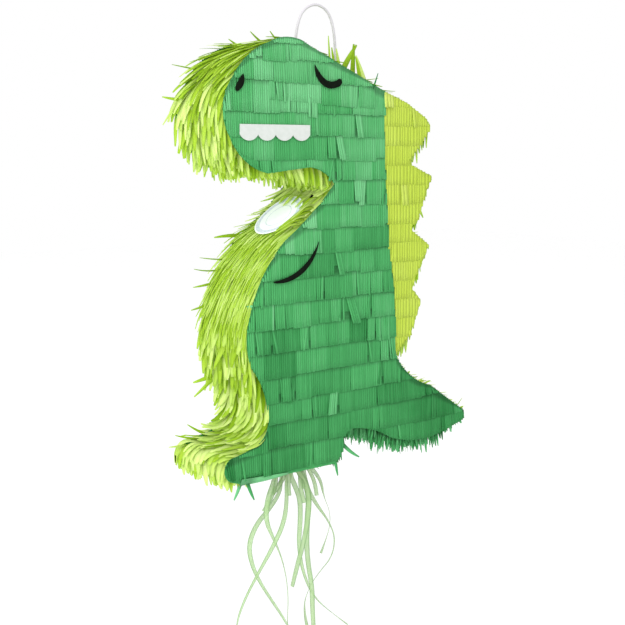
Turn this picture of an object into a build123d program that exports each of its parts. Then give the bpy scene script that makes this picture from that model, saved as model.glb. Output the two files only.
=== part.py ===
"""Pull-ribbon dinosaur pinata: a hollow cardboard box in the shape of a standing dinosaur.

Two cut board panels are joined by strips of board that follow the outline.  Paper fringe
covers every face.  A cord loop hangs the box up, a trap door in the sole opens when its
ribbons are pulled, and a flap in the back panel lets the sweets in.

Frame: X runs from the snout to the tail, Y from the front face to the back face, Z up.
The origin is the inner top of the hanging loop.  All sizes are in millimetres.
"""

import os
from math import atan, cos, pi, radians, tan

from build123d import *

# ---------------------------------------------------------------- driving dimensions
body_height = 447.0  # sole to crown, over the fringe
body_length = 335.0  # snout to tail tip, over the fringe
body_depth = 90.0  # front face to back face, over the fringe
board = 3.0  # corrugated board
face_fringe = 2.4  # paper fringe on the two flat faces
band_fringe = 4.0  # paper fringe on the strip round the edge
soft_gap = 0.3  # between fringe and board
face_paper = 0.8  # glued paper shapes: eye, nostril, teeth and arm
tip_radius = 2.5  # rounding of the crest's points

loop_rise = 60.5  # inner top of the loop above the crown
cord_diameter = 3.0
leg_spread = 54.0  # between the loop's two legs
cord_hole_diameter = 7.0
fringe_hole_diameter = 12.0
plate_length = 84.0  # board patch under the crown that the cord pulls against
plate_width = 50.0
plate_thickness = 3.0
knot_diameter = 9.0
cord_tail = 2.0  # cord below each knot
seat_gap = 0.3  # between a knot and what it bears on

door_length = 62.0  # along X
door_width = 54.0  # along Y
door_centre_x = -48.0
door_hinge_y = 24.0
door_gap = 1.0
stop_length = 40.0  # strips inside the sole that the door closes against
stop_width = 9.0
stop_overlap = 4.0
stop_thickness = 2.0

flap_width = 70.0
flap_height = 65.0
flap_centre_x = 15.0
flap_hinge_height = 236.0  # above the sole
flap_gap = 1.0

tape_width = 6.0  # each half of a paper tape hinge
tape_thickness = 0.3
crease_gap = 0.45  # from a hinge's axis to the edges beside it

ribbon_width = 5.0
ribbon_pitch = 6.5  # between the ribbons' ties
ribbon_edge = 5.5  # from the door's free edge to the row of ties
ribbon_first = 8.0  # from the door's end to the first tie
tie_diameter = 6.0
tie_neck_diameter = 2.4
tie_hole_diameter = 3.0

label_diameter = 60.0
label_thickness = 0.8
label_height = 265.0  # centre of the round label on the chest

# ---------------------------------------------------------------- derived values
pattern_height = 447.0  # the cutting pattern's own height and length
pattern_length = 335.0
stretch_x = body_length / pattern_length
stretch_z = body_height / pattern_height
crown_front = (-41.0, 439.0)
crown_back = (60.0, 396.5)
crown_slope = (crown_back[1] - crown_front[1]) / (crown_back[0] - crown_front[0])
crown_mid_height = crown_front[1] - crown_slope * crown_front[0]
drop = crown_mid_height * stretch_z + loop_rise  # origin above the sole
crown_angle = atan(-crown_slope * stretch_z / stretch_x)

half_depth = body_depth / 2
face_inner = half_depth - face_fringe
panel_outer = face_inner - soft_gap
panel_inner = panel_outer - board
band_half = panel_outer - soft_gap
sole_outer = band_fringe - drop  # underside of the sole board
sole_inner = sole_outer + board
leg_x = leg_spread / 2
plate_depth = band_fringe + board + plate_thickness
knot_depth = plate_depth + seat_gap + knot_diameter / 2
pivot_depth = ribbon_width / 2 + seat_gap

door_free_y = door_hinge_y - door_width
door_near_x = door_centre_x - door_length / 2
door_far_x = door_centre_x + door_length / 2
tie_y = door_free_y + ribbon_edge
tie_z = sole_outer - pivot_depth
flap_top = flap_hinge_height - drop
flap_bottom = flap_top - flap_height
flap_middle = (flap_top + flap_bottom) / 2


def at(x, z):
    """A point of the cutting pattern (x from the loop's middle, z above the sole) in the frame."""
    return (x * stretch_x, z * stretch_z - drop)


def under_crown(x, depth):
    """The point at x that lies depth below the sloping crown, measured square to it."""
    return (x, -loop_rise - x * tan(crown_angle) - depth / cos(crown_angle))


def arcs(*points):
    """A chain of arcs: each takes the last point, the next one to pass and the next to end at."""
    for start, through, end in zip(points[:-2:2], points[1:-1:2], points[2::2]):
        ThreePointArc(at(*start), at(*through), at(*end))


def route_radii(points):
    """The largest tangent arc that each corner of a cord's route has room for."""
    vectors = [Vector(*point) for point in points]
    radii = []
    for before, corner, after in zip(vectors, vectors[1:], vectors[2:]):
        half_turn = radians((corner - before).get_angle(after - corner)) / 2
        shorter = min((corner - before).length, (after - corner).length)
        radii.append(0.45 * shorter / tan(half_turn))
    return radii


def save(part, name):
    """Label a finished piece and write it under its own name."""
    part.label = name
    export_step(part, f"parts/{name}.step")


os.makedirs("parts", exist_ok=True)

# ---------------------------------------------------------------- the outline
with BuildSketch() as outline:
    with BuildLine():
        Line(at(*crown_back), at(*crown_front))
        arcs(crown_front, (-63, 445.5), (-88, 440), (-117, 423), (-133, 403))
        arcs((-133, 403), (-143.5, 374), (-136, 347), (-120, 325.5), (-92, 312))
        Line(at(-92, 312), at(-40, 317.5))
        arcs((-40, 317.5), (-22, 312), (-8, 300))
        arcs((-8, 300), (-40, 268), (-71, 244), (-98, 210), (-116, 164))
        arcs((-116, 164), (-118.5, 142), (-113, 117), (-99.5, 94), (-94, 70))
        arcs((-94, 70), (-96.5, 47), (-106, 37), (-123, 31.5), (-139, 28))
        arcs((-139, 28), (-146.5, 16), (-139, 3.5))
        Line(at(-139, 3.5), at(-128, 0))
        Line(at(-128, 0), at(-12, 0))
        arcs((-12, 0), (0, 5), (5, 17), (7, 29), (15, 36))
        arcs((15, 36), (43, 31), (72, 17), (110, 8.5), (150, 11))
        Line(at(150, 11), at(182, 20))
        arcs((182, 20), (188, 27), (183, 34))
        Line(at(183, 34), at(132, 69))
        arcs((132, 69), (97, 88), (79, 111))
        FilletPolyline(
            at(79, 111),
            at(102, 132),
            at(116, 168),
            at(103, 181),
            at(105, 190),
            at(118, 214),
            at(127, 230),
            at(98, 249),
            at(110, 259),
            at(122, 289),
            at(130, 306),
            at(94, 321),
            at(112, 340),
            at(127, 359),
            at(119, 370),
            at(92, 385),
            at(60, 396.5),
            radius=tip_radius,
        )
    make_face()

with BuildSketch() as panel_outline:
    add(outline.sketch_local)
    offset(amount=-band_fringe)

with BuildSketch() as cavity_outline:
    add(outline.sketch_local)
    offset(amount=-band_fringe - board)

with BuildSketch() as fringe_inner:
    add(outline.sketch_local)
    offset(amount=soft_gap - band_fringe)

with BuildSketch() as label_outer:
    add(outline.sketch_local)
    offset(amount=label_thickness)

# The back line, where the dark body meets the pale crest.
with BuildSketch() as crest_side:
    with BuildLine():
        arcs((60, 460), (60.5, 340), (70, 220), (77, 165), (79, 111))
        Line(at(79, 111), at(230, 111))
        Line(at(230, 111), at(230, 460))
        Line(at(230, 460), at(60, 460))
    make_face()

with BuildSketch() as body_face:
    add(outline.sketch_local)
    add(crest_side.sketch_local, mode=Mode.SUBTRACT)

with BuildSketch() as crest_face:
    add(outline.sketch_local)
    add(crest_side.sketch_local, mode=Mode.INTERSECT)

# ---------------------------------------------------------------- stretches of the edge strip
stretches = {
    "crown": [(-48, 500), (58, 500), (58, 350), (-48, 350)],
    "muzzle": [(-48, 500), (-200, 500), (-200, 330), (-48, 330)],
    "jaw": [(-200, 330), (30, 330), (30, 300), (-200, 300)],
    "chest": [(-200, 300), (30, 300), (30, 160), (-200, 160)],
    "belly": [(-200, 160), (30, 160), (30, 45), (-200, 45)],
    "toe": [(-200, 45), (-60, 45), (-60, 12), (-115, 12), (-115, -50), (-200, -50)],
    "sole": [(-115, 12), (-10, 12), (-10, -50), (-115, -50)],
    "heel": [(-10, 45), (22, 45), (22, -50), (-10, -50)],
    "tail_under": [(22, 60), (220, 22), (220, -50), (22, -50)],
    "tail_top": [(22, 112), (220, 112), (220, 22), (22, 60)],
    "crest_lower": [(40, 112), (200, 112), (200, 249), (40, 249)],
    "crest_upper": [(58, 249), (200, 249), (200, 500), (58, 500)],
}

# ---------------------------------------------------------------- what is cut out of the strip
with BuildPart() as board_cuts:
    with BuildSketch(Plane.XY.offset(-loop_rise - half_depth)):
        with Locations((-leg_x, 0), (leg_x, 0)):
            Circle(cord_hole_diameter / 2)
    extrude(amount=loop_rise + half_depth)
    with BuildSketch(Plane.XY.offset(sole_outer - board)):
        with Locations((door_centre_x, door_hinge_y + crease_gap)):
            Rectangle(
                door_length + 2 * door_gap,
                door_width + door_gap + crease_gap,
                align=(Align.CENTER, Align.MAX),
            )
    extrude(amount=3 * board)

with BuildPart() as fringe_cuts:
    with BuildSketch(Plane.XY.offset(-loop_rise - half_depth)):
        with Locations((-leg_x, 0), (leg_x, 0)):
            Circle(fringe_hole_diameter / 2)
    extrude(amount=loop_rise + half_depth)
    with BuildSketch(Plane.XY.offset(sole_outer - 2 * band_fringe)):
        with Locations((door_centre_x, door_hinge_y + tape_width + soft_gap)):
            Rectangle(
                door_length + 2 * door_gap,
                door_width + door_gap + tape_width + soft_gap,
                align=(Align.CENTER, Align.MAX),
            )
    extrude(amount=3 * band_fringe)

# ---------------------------------------------------------------- board strips and their fringe
for name, corners in stretches.items():
    with BuildPart() as wall:
        with BuildSketch(Plane.XZ.offset(-panel_inner)):
            add(panel_outline.sketch_local)
            add(cavity_outline.sketch_local, mode=Mode.SUBTRACT)
            with BuildLine():
                Polyline([at(*corner) for corner in corners], close=True)
            make_face(mode=Mode.INTERSECT)
        extrude(amount=2 * panel_inner)
        add(board_cuts.part, mode=Mode.SUBTRACT)
    save(wall.part, f"{name}_wall")

    with BuildPart() as fringe:
        with BuildSketch(Plane.XZ.offset(-band_half)):
            add(outline.sketch_local)
            add(fringe_inner.sketch_local, mode=Mode.SUBTRACT)
            with BuildLine():
                Polyline([at(*corner) for corner in corners], close=True)
            make_face(mode=Mode.INTERSECT)
        extrude(amount=2 * band_half)
        add(fringe_cuts.part, mode=Mode.SUBTRACT)
    save(fringe.part, f"{name}_fringe")

# ---------------------------------------------------------------- the two panels
with BuildPart() as front_panel:
    with BuildSketch(Plane.XZ.offset(panel_inner)):
        add(panel_outline.sketch_local)
    extrude(amount=board)
save(front_panel.part, "front_panel")

with BuildPart() as back_panel:
    with BuildSketch(Plane.XZ.offset(-panel_outer)):
        add(panel_outline.sketch_local)
        with Locations((flap_centre_x, flap_top + crease_gap)):
            Rectangle(
                flap_width + 2 * flap_gap,
                flap_height + flap_gap + crease_gap,
                align=(Align.CENTER, Align.MAX),
                mode=Mode.SUBTRACT,
            )
    extrude(amount=board)
save(back_panel.part, "back_panel")

# ---------------------------------------------------------------- fringe on the flat faces
with BuildPart() as front_body_fringe:
    with BuildSketch(Plane.XZ.offset(face_inner)):
        add(body_face.sketch_local)
    extrude(amount=face_fringe)
save(front_body_fringe.part, "front_body_fringe")

with BuildPart() as front_crest_fringe:
    with BuildSketch(Plane.XZ.offset(face_inner)):
        add(crest_face.sketch_local)
    extrude(amount=face_fringe)
save(front_crest_fringe.part, "front_crest_fringe")

with BuildPart() as back_body_fringe:
    with BuildSketch(Plane.XZ.offset(-half_depth)):
        add(body_face.sketch_local)
        with Locations((flap_centre_x, flap_top + tape_width + soft_gap)):
            Rectangle(
                flap_width + 2 * flap_gap,
                flap_height + flap_gap + tape_width + soft_gap,
                align=(Align.CENTER, Align.MAX),
                mode=Mode.SUBTRACT,
            )
    extrude(amount=face_fringe)
save(back_body_fringe.part, "back_body_fringe")

with BuildPart() as back_crest_fringe:
    with BuildSketch(Plane.XZ.offset(-half_depth)):
        add(crest_face.sketch_local)
    extrude(amount=face_fringe)
save(back_crest_fringe.part, "back_crest_fringe")

# ---------------------------------------------------------------- paper shapes on both faces
with BuildSketch() as eye:
    with BuildLine():
        lid_start = at(-35.5, 420)
        lid_end = at(-0.8, 403)
        lid_corner = at(-4.5, 407)
        lower = ThreePointArc(lid_start, at(-25, 400), at(-17, 397))
        Spline(lower @ 1, at(-8, 398), lid_end, tangents=[lower % 1, (0.3, 1)])
        ThreePointArc(lid_end, at(-1.4, 406.2), lid_corner)
        Spline(lid_corner, at(-12, 404), at(-20, 405), at(-28.5, 411.5), lid_start)
    make_face()

with BuildSketch() as nostril:
    with BuildLine():
        ThreePointArc(at(-121.5, 407.5), at(-121, 398.5), at(-126, 392))
        ThreePointArc(at(-126, 392), at(-129.8, 391.2), at(-130.5, 395))
        ThreePointArc(at(-130.5, 395), at(-126.4, 402.0), at(-121.5, 407.5))
    make_face()

tooth_count = 4
tooth_width = 21.1
tooth_drop = 15.8
tooth_corner = 10.0
teeth_left = -126.0
teeth_top = 359.8
with BuildSketch() as teeth:
    with BuildLine():
        for tooth in range(tooth_count):
            side = teeth_left + tooth * tooth_width
            ThreePointArc(
                at(side, teeth_top - tooth_corner),
                at(side + tooth_width / 2, teeth_top - tooth_drop),
                at(side + tooth_width, teeth_top - tooth_corner),
            )
        teeth_right = teeth_left + tooth_count * tooth_width
        Line(at(teeth_right, teeth_top - tooth_corner), at(teeth_right, teeth_top))
        Line(at(teeth_right, teeth_top), at(teeth_left, teeth_top))
        Line(at(teeth_left, teeth_top), at(teeth_left, teeth_top - tooth_corner))
    make_face()

with BuildSketch() as arm_line:
    with BuildLine():
        ThreePointArc(at(-30, 241.5), at(-55.1, 213.7), at(-85, 204))
        ThreePointArc(at(-85, 204), at(-86.5, 202.8), at(-85, 202))
        ThreePointArc(at(-85, 202), at(-52, 209.2), at(-30, 241.5))
    make_face()

face_shapes = {"eye": eye, "nostril": nostril, "teeth": teeth, "arm_line": arm_line}
for name, shape in face_shapes.items():
    with BuildPart() as front_shape:
        with BuildSketch(Plane.XZ.offset(half_depth)):
            add(shape.sketch_local)
        extrude(amount=face_paper)
    save(front_shape.part, f"front_{name}")

    with BuildPart() as back_shape:
        with BuildSketch(Plane.XZ.offset(-half_depth - face_paper)):
            add(shape.sketch_local)
        extrude(amount=face_paper)
    save(back_shape.part, f"back_{name}")

# ---------------------------------------------------------------- blank round label on the chest
throat = at(-8, 300)
breast = at(-71, 244)
label_share = (label_height * stretch_z - drop - throat[1]) / (breast[1] - throat[1])
label_centre = (throat[0] + label_share * (breast[0] - throat[0]), 0, label_height * stretch_z - drop)
label_normal = (breast[1] - throat[1], 0, throat[0] - breast[0])
with BuildPart() as chest_label:
    with BuildSketch(Plane(origin=label_centre, x_dir=(0, 1, 0), z_dir=label_normal)):
        Circle(label_diameter / 2)
    extrude(amount=3 * band_fringe, both=True)
    with BuildSketch(Plane.XZ.offset(-band_half)):
        add(label_outer.sketch_local)
        add(outline.sketch_local, mode=Mode.SUBTRACT)
    extrude(amount=2 * band_half, mode=Mode.INTERSECT)
save(chest_label.part, "chest_label")

# ---------------------------------------------------------------- hanging loop
left_knot = under_crown(-leg_x, knot_depth)
right_knot = under_crown(leg_x, knot_depth)
tail_drop = knot_diameter / 2 + cord_tail
loop_route = [
    (-leg_x, 0, left_knot[1] - tail_drop),
    (-leg_x, 0, -46.0),
    (-25.2, 0, -22.5),
    (-17.5, 0, -3.0),
    (0.0, 0, 5.4),
    (16.8, 0, -1.6),
    (24.3, 0, -19.5),
    (26.6, 0, -43.0),
    (leg_x, 0, -68.0),
    (leg_x, 0, right_knot[1] - tail_drop),
]
loop_radii = route_radii(loop_route)
print("hanging loop radii", [round(radius, 1) for radius in loop_radii])
with BuildPart() as hanging_cord:
    with BuildLine() as loop_path:
        FilletPolyline(*loop_route, radius=loop_radii)
    loop_wire = loop_path.wire()
    with BuildSketch(Plane(origin=loop_wire @ 0, z_dir=loop_wire % 0)):
        Circle(cord_diameter / 2)
    sweep(path=loop_wire)
print("hanging loop length", round(loop_wire.length, 1))
save(hanging_cord.part, "hanging_cord")

with BuildPart() as cord_knots:
    with Locations((-leg_x, 0, left_knot[1]), (leg_x, 0, right_knot[1])):
        Sphere(knot_diameter / 2)
        Cylinder(cord_diameter / 2, 2 * knot_diameter, mode=Mode.SUBTRACT)
save(cord_knots.part, "cord_knots")

with BuildPart() as hanger_plate:
    with BuildSketch(Plane.XZ.offset(-plate_width / 2)):
        with BuildLine():
            Polyline(
                under_crown(-plate_length / 2, band_fringe + board),
                under_crown(plate_length / 2, band_fringe + board),
                under_crown(plate_length / 2, plate_depth),
                under_crown(-plate_length / 2, plate_depth),
                close=True,
            )
        make_face()
    extrude(amount=plate_width)
    add(board_cuts.part, mode=Mode.SUBTRACT)
save(hanger_plate.part, "hanger_plate")

# ---------------------------------------------------------------- trap door in the sole
tie_places = [(door_near_x + ribbon_first + count * ribbon_pitch, tie_y) for count in range(8)]
with BuildPart() as trap_door:
    with BuildSketch(Plane.XY.offset(sole_outer)):
        with Locations((door_centre_x, door_hinge_y - crease_gap)):
            Rectangle(door_length, door_width - crease_gap, align=(Align.CENTER, Align.MAX))
        with Locations(*tie_places):
            Circle(tie_hole_diameter / 2, mode=Mode.SUBTRACT)
    extrude(amount=board)
save(trap_door.part, "trap_door")

with BuildPart() as door_stops:
    with BuildSketch(Plane.XY.offset(sole_inner)):
        with Locations((door_near_x + stop_overlap, 0)):
            Rectangle(stop_width, stop_length, align=(Align.MAX, Align.CENTER))
        with Locations((door_far_x - stop_overlap, 0)):
            Rectangle(stop_width, stop_length, align=(Align.MIN, Align.CENTER))
    extrude(amount=stop_thickness)
    with BuildSketch(Plane.XZ.offset(-half_depth)):
        add(cavity_outline.sketch_local)
    extrude(amount=body_depth, mode=Mode.INTERSECT)
save(door_stops.part, "door_stops")

with BuildPart() as door_fringe:
    with BuildSketch(Plane.XY.offset(-drop)):
        with Locations((door_centre_x, door_hinge_y - tape_width - soft_gap)):
            Rectangle(
                door_length,
                door_width - tape_width - soft_gap - 2 * ribbon_edge,
                align=(Align.CENTER, Align.MAX),
            )
    extrude(amount=band_fringe - soft_gap)
save(door_fringe.part, "door_fringe")

with BuildPart() as door_tape:
    with BuildSketch(Plane.XY.offset(sole_outer - tape_thickness)):
        with Locations((door_centre_x, door_hinge_y - crease_gap)):
            Rectangle(door_length, tape_width - crease_gap, align=(Align.CENTER, Align.MAX))
    extrude(amount=tape_thickness)
save(door_tape.part, "door_tape")

with BuildPart() as sole_tape:
    with BuildSketch(Plane.XY.offset(sole_outer - tape_thickness)):
        with Locations((door_centre_x, door_hinge_y + crease_gap)):
            Rectangle(door_length, tape_width - crease_gap, align=(Align.CENTER, Align.MIN))
    extrude(amount=tape_thickness)
save(sole_tape.part, "sole_tape")

with BuildPart() as ribbon_ties:
    with Locations(*[(x, y, sole_inner + tie_diameter / 2) for x, y in tie_places]):
        Sphere(tie_diameter / 2)
    with BuildSketch(Plane.XY.offset(sole_outer)):
        with Locations(*tie_places):
            Circle(tie_neck_diameter / 2)
    extrude(amount=board + tie_diameter / 2)
save(ribbon_ties.part, "ribbon_ties")

# ---------------------------------------------------------------- pull ribbons
# Each route is given from its tie: along X, along Y and down.
ribbon_routes = {
    "ribbon_1": [
        (0, 0, 0), (-3, 0, -14), (-15, -5, -31), (-19, -8, -51), (-9, -9, -74),
        (3, -8, -100), (9, -9, -131), (10, -7, -166), (6, -9, -200),
    ],
    "ribbon_2": [
        (0, 0, 0), (1, 1, -13), (1, 4, -29), (-12, 6, -45), (-28, 7, -59), (-37, 8, -80),
        (-33, 7, -103), (-22, 8, -125), (-8, 7, -148), (8, 8, -172), (22, 7, -198),
    ],
    "ribbon_3": [
        (0, 0, 0), (0, 0, -13), (-6, -10, -33), (-14, -16, -54), (-29, -17, -77),
        (-48, -16, -103), (-66, -17, -127), (-76, -16, -152), (-78, -17, -180),
    ],
    "ribbon_4": [
        (0, 0, 0), (4, 6, -13), (15, 14, -27), (27, 20, -47), (28, 21, -72), (26, 22, -100),
        (31, 21, -132), (46, 22, -165), (70, 21, -190), (96, 22, -212),
    ],
    "ribbon_5": [
        (0, 0, 0), (6, 0, -12), (15, 0, -27), (18, 0, -48), (14, -1, -70), (8, -1, -93),
        (1, 0, -115), (-6, -1, -135),
    ],
    "ribbon_6": [
        (0, 0, 0), (5, 5, -13), (15, 11, -27), (22, 14, -46), (20, 15, -70), (18, 14, -95),
        (21, 15, -122), (26, 14, -150), (27, 15, -180), (29, 14, -210),
    ],
    "ribbon_7": [
        (0, 0, 0), (5, 9, -12), (15, 20, -27), (27, 29, -46), (43, 35, -66), (60, 36, -88),
        (70, 36, -110), (64, 35, -132), (46, 36, -146), (30, 35, -161), (23, 36, -183),
        (28, 35, -206),
    ],
    "ribbon_8": [
        (0, 0, 0), (7, 7, -10), (20, 17, -20), (33, 24, -34), (40, 28, -54), (50, 28, -76),
        (48, 29, -99), (36, 28, -120),
    ],
}
for (name, steps), (tie_x, row_y) in zip(ribbon_routes.items(), tie_places):
    route = [(tie_x + x, row_y + y, tie_z + z) for x, y, z in steps]
    radii = route_radii(route)
    with BuildPart() as ribbon:
        with BuildLine() as ribbon_path:
            FilletPolyline(*route, radius=radii)
        ribbon_wire = ribbon_path.wire()
        with BuildSketch(Plane(origin=ribbon_wire @ 0, z_dir=ribbon_wire % 0)):
            Circle(ribbon_width / 2)
        sweep(path=ribbon_wire)
        tube_volume = ribbon.part.volume
        with Locations((tie_x, row_y, tie_z)):
            Sphere(ribbon_width / 2)
    section = pi * ribbon_width**2 / 4
    print(name, "radii", [round(radius) for radius in radii], end=" ")
    print("length", round(ribbon_wire.length, 1), end=" ")
    print("volume over section x length", round(tube_volume / section / ribbon_wire.length, 4))
    save(ribbon.part, name)

# ---------------------------------------------------------------- filling flap in the back
with BuildPart() as fill_flap:
    with BuildSketch(Plane.XZ.offset(-panel_outer)):
        with Locations((flap_centre_x, flap_top - crease_gap)):
            Rectangle(flap_width, flap_height - crease_gap, align=(Align.CENTER, Align.MAX))
    extrude(amount=board)
save(fill_flap.part, "fill_flap")

with BuildPart() as flap_fringe:
    with BuildSketch(Plane.XZ.offset(-half_depth)):
        with Locations((flap_centre_x, flap_top - tape_width - soft_gap)):
            Rectangle(
                flap_width, flap_height - tape_width - soft_gap, align=(Align.CENTER, Align.MAX)
            )
    extrude(amount=face_fringe)
save(flap_fringe.part, "flap_fringe")

with BuildPart() as flap_tape:
    with BuildSketch(Plane.XZ.offset(-panel_outer - tape_thickness)):
        with Locations((flap_centre_x, flap_top - crease_gap)):
            Rectangle(flap_width, tape_width - crease_gap, align=(Align.CENTER, Align.MAX))
    extrude(amount=tape_thickness)
save(flap_tape.part, "flap_tape")

with BuildPart() as panel_tape:
    with BuildSketch(Plane.XZ.offset(-panel_outer - tape_thickness)):
        with Locations((flap_centre_x, flap_top + crease_gap)):
            Rectangle(flap_width, tape_width - crease_gap, align=(Align.CENTER, Align.MIN))
    extrude(amount=tape_thickness)
save(panel_tape.part, "panel_tape")
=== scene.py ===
"""A pull-ribbon dinosaur pinata: tissue fringe on a board body, a hanging loop and pull ribbons."""

import logging
import math
from dataclasses import dataclass, field
from enum import Enum

import bmesh
import bpy
import numpy as np
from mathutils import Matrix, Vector
from mathutils.bvhtree import BVHTree


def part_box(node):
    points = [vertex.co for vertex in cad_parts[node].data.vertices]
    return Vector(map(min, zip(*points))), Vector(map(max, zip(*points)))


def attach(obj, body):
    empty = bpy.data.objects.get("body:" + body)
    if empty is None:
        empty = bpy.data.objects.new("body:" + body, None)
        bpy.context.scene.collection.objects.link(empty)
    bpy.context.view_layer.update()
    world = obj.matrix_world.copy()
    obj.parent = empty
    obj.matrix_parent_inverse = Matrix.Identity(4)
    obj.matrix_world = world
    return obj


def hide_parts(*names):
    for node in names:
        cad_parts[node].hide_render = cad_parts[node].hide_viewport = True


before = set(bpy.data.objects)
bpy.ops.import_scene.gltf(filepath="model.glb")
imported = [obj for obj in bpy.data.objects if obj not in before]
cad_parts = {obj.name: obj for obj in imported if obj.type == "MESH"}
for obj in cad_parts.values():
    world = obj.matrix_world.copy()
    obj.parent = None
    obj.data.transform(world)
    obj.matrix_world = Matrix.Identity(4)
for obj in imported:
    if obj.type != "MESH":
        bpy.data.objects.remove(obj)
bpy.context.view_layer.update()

log = logging.getLogger("pinata")
MM = 0.001


def linear(red: float, green: float, blue: float) -> tuple[float, float, float, float]:
    """Turns a colour of 0 to 255 per channel into the linear one that a shader takes.

    Args:
        red: red, 0 to 255.
        green: green, 0 to 255.
        blue: blue, 0 to 255.

    Returns:
        The linear colour with an alpha of one.
    """
    parts = []
    for value in (red, green, blue):
        share = value / 255
        parts.append(share / 12.92 if share <= 0.04045 else ((share + 0.055) / 1.055) ** 2.4)
    return (parts[0], parts[1], parts[2], 1.0)


class Shade(Enum):
    """The papers that the fringe is cut from."""

    LIME = "lime_fringe"
    GREEN = "green_fringe"
    CREST = "crest_fringe"


class Side(Enum):
    """The two flat faces, by the sign of their outward direction along Y."""

    FRONT = -1
    BACK = 1


# ------------------------------------------------------------------ finishes
def new_shader(name: str) -> tuple[bpy.types.Material, bpy.types.NodeTree, bpy.types.Node]:
    """Starts a node material.

    Args:
        name: the material's name.

    Returns:
        The material, its node tree and its Principled node.
    """
    made = bpy.data.materials.new(name)
    made.use_nodes = True
    tree = made.node_tree
    return made, tree, tree.nodes["Principled BSDF"]


def add_node(
    tree: bpy.types.NodeTree,
    kind: str,
    sockets: dict[str | int, float | tuple[float, ...]] | None = None,
    **settings: str,
) -> bpy.types.Node:
    """Adds a node.

    Args:
        tree: the node tree.
        kind: its type, without the ShaderNode that every one starts with.
        sockets: the values of its inputs.
        settings: the node's own settings.

    Returns:
        The node.
    """
    node = tree.nodes.new("ShaderNode" + kind)
    for setting, value in settings.items():
        setattr(node, setting, value)
    for socket, value in (sockets or {}).items():
        node.inputs[socket].default_value = value
    return node


def blend_colours(tree: bpy.types.NodeTree, how: str, share: float = 1.0) -> bpy.types.Node:
    """Adds a colour Mix node.

    Args:
        tree: the node tree.
        how: its blend type.
        share: its factor, until something is linked to it.

    Returns:
        The node, whose colour sockets are inputs 6 and 7 and output 2.
    """
    return add_node(tree, "Mix", {0: share}, data_type="RGBA", blend_type=how)


@dataclass(frozen=True)
class TissueFinish:
    """Crepe tissue paper: a tone for each strand, fine creases, light through its layers, painted
    shade towards each strand's root and a painted glow.
    """

    name: str
    deep: tuple[float, float, float]
    middle: tuple[float, float, float]
    pale: tuple[float, float, float]
    glow: float = 0.22
    # painted shade: how much darker each strand is drawn at its root, and from where to where along
    # it that fades out
    painted_root_shade: float = 0.45
    root_from: float = 0.2
    root_to: float = 0.36
    crease: float = 0.35
    # strength of a painted glow: the paper emits its own drawn colour, as painted light
    painted_glow: float = 0.0

    def build(self) -> bpy.types.Material:
        """Makes the material, which reads the strands' own map and tone.

        Returns:
            The material.
        """
        made, tree, shader = new_shader(self.name)
        tone = add_node(tree, "Attribute", attribute_name="tone")
        ramp = add_node(tree, "ValToRGB")
        ramp.color_ramp.elements[0].color = linear(*self.deep)
        ramp.color_ramp.elements[1].color = linear(*self.pale)
        ramp.color_ramp.elements.new(0.5).color = linear(*self.middle)
        uv = add_node(tree, "UVMap", uv_map="Strand")
        stretch = add_node(tree, "Mapping", {"Scale": (2.6, 0.55, 1.0)})
        fibres = add_node(tree, "TexNoise", {"Scale": 3.0, "Detail": 5.0})
        place = add_node(tree, "TexCoord")
        blotch = add_node(tree, "TexNoise", {"Scale": 38.0, "Detail": 3.0})
        crinkle = add_node(tree, "TexNoise", {"Scale": 900.0, "Detail": 4.0})
        jitter = add_node(tree, "Math", {1: 0.34, 2: -0.17}, operation="MULTIPLY_ADD")
        total = add_node(tree, "Math", operation="ADD")
        wide = add_node(tree, "Math", {1: 0.26, 2: -0.13}, operation="MULTIPLY_ADD")
        sum_all = add_node(tree, "Math", operation="ADD")
        split = add_node(tree, "SeparateXYZ")
        # painted shade: darkens the colour towards each strand's root
        rooted = add_node(
            tree, "MapRange",
            {
                "From Min": self.root_from,
                "From Max": self.root_to,
                "To Min": 1.0 - self.painted_root_shade,
                "To Max": 1.0,
            },
        )
        darken = blend_colours(tree, "MULTIPLY")
        bump = add_node(tree, "Bump", {"Strength": self.crease, "Distance": 0.0006})
        heights = add_node(tree, "Math", {1: 0.35}, operation="MULTIPLY_ADD")
        through = add_node(tree, "BsdfTranslucent")
        mixed = add_node(tree, "MixShader", {0: self.glow})
        link = tree.links.new
        link(uv.outputs[0], stretch.inputs[0])
        link(stretch.outputs[0], fibres.inputs["Vector"])
        link(place.outputs["Object"], blotch.inputs["Vector"])
        link(place.outputs["Object"], crinkle.inputs["Vector"])
        link(fibres.outputs[0], jitter.inputs[0])
        link(tone.outputs["Fac"], total.inputs[0])
        link(jitter.outputs[0], total.inputs[1])
        link(blotch.outputs[0], wide.inputs[0])
        link(total.outputs[0], sum_all.inputs[0])
        link(wide.outputs[0], sum_all.inputs[1])
        link(sum_all.outputs[0], ramp.inputs[0])
        link(uv.outputs[0], split.inputs[0])
        link(split.outputs["Y"], rooted.inputs["Value"])
        link(ramp.outputs[0], darken.inputs[6])
        link(rooted.outputs[0], darken.inputs[7])
        link(darken.outputs[2], shader.inputs["Base Color"])
        # painted glow: the strand colour, with its painted root shade, is also emitted
        link(darken.outputs[2], shader.inputs["Emission Color"])
        link(darken.outputs[2], through.inputs["Color"])
        link(crinkle.outputs[0], heights.inputs[0])
        link(fibres.outputs[0], heights.inputs[2])
        link(heights.outputs[0], bump.inputs["Height"])
        link(bump.outputs[0], shader.inputs["Normal"])
        link(bump.outputs[0], through.inputs["Normal"])
        shader.inputs["Roughness"].default_value = 0.62
        shader.inputs["Specular IOR Level"].default_value = 0.15
        shader.inputs["Emission Strength"].default_value = self.painted_glow
        link(shader.outputs[0], mixed.inputs[1])
        link(through.outputs[0], mixed.inputs[2])
        link(mixed.outputs[0], tree.nodes["Material Output"].inputs[0])
        return made


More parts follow.
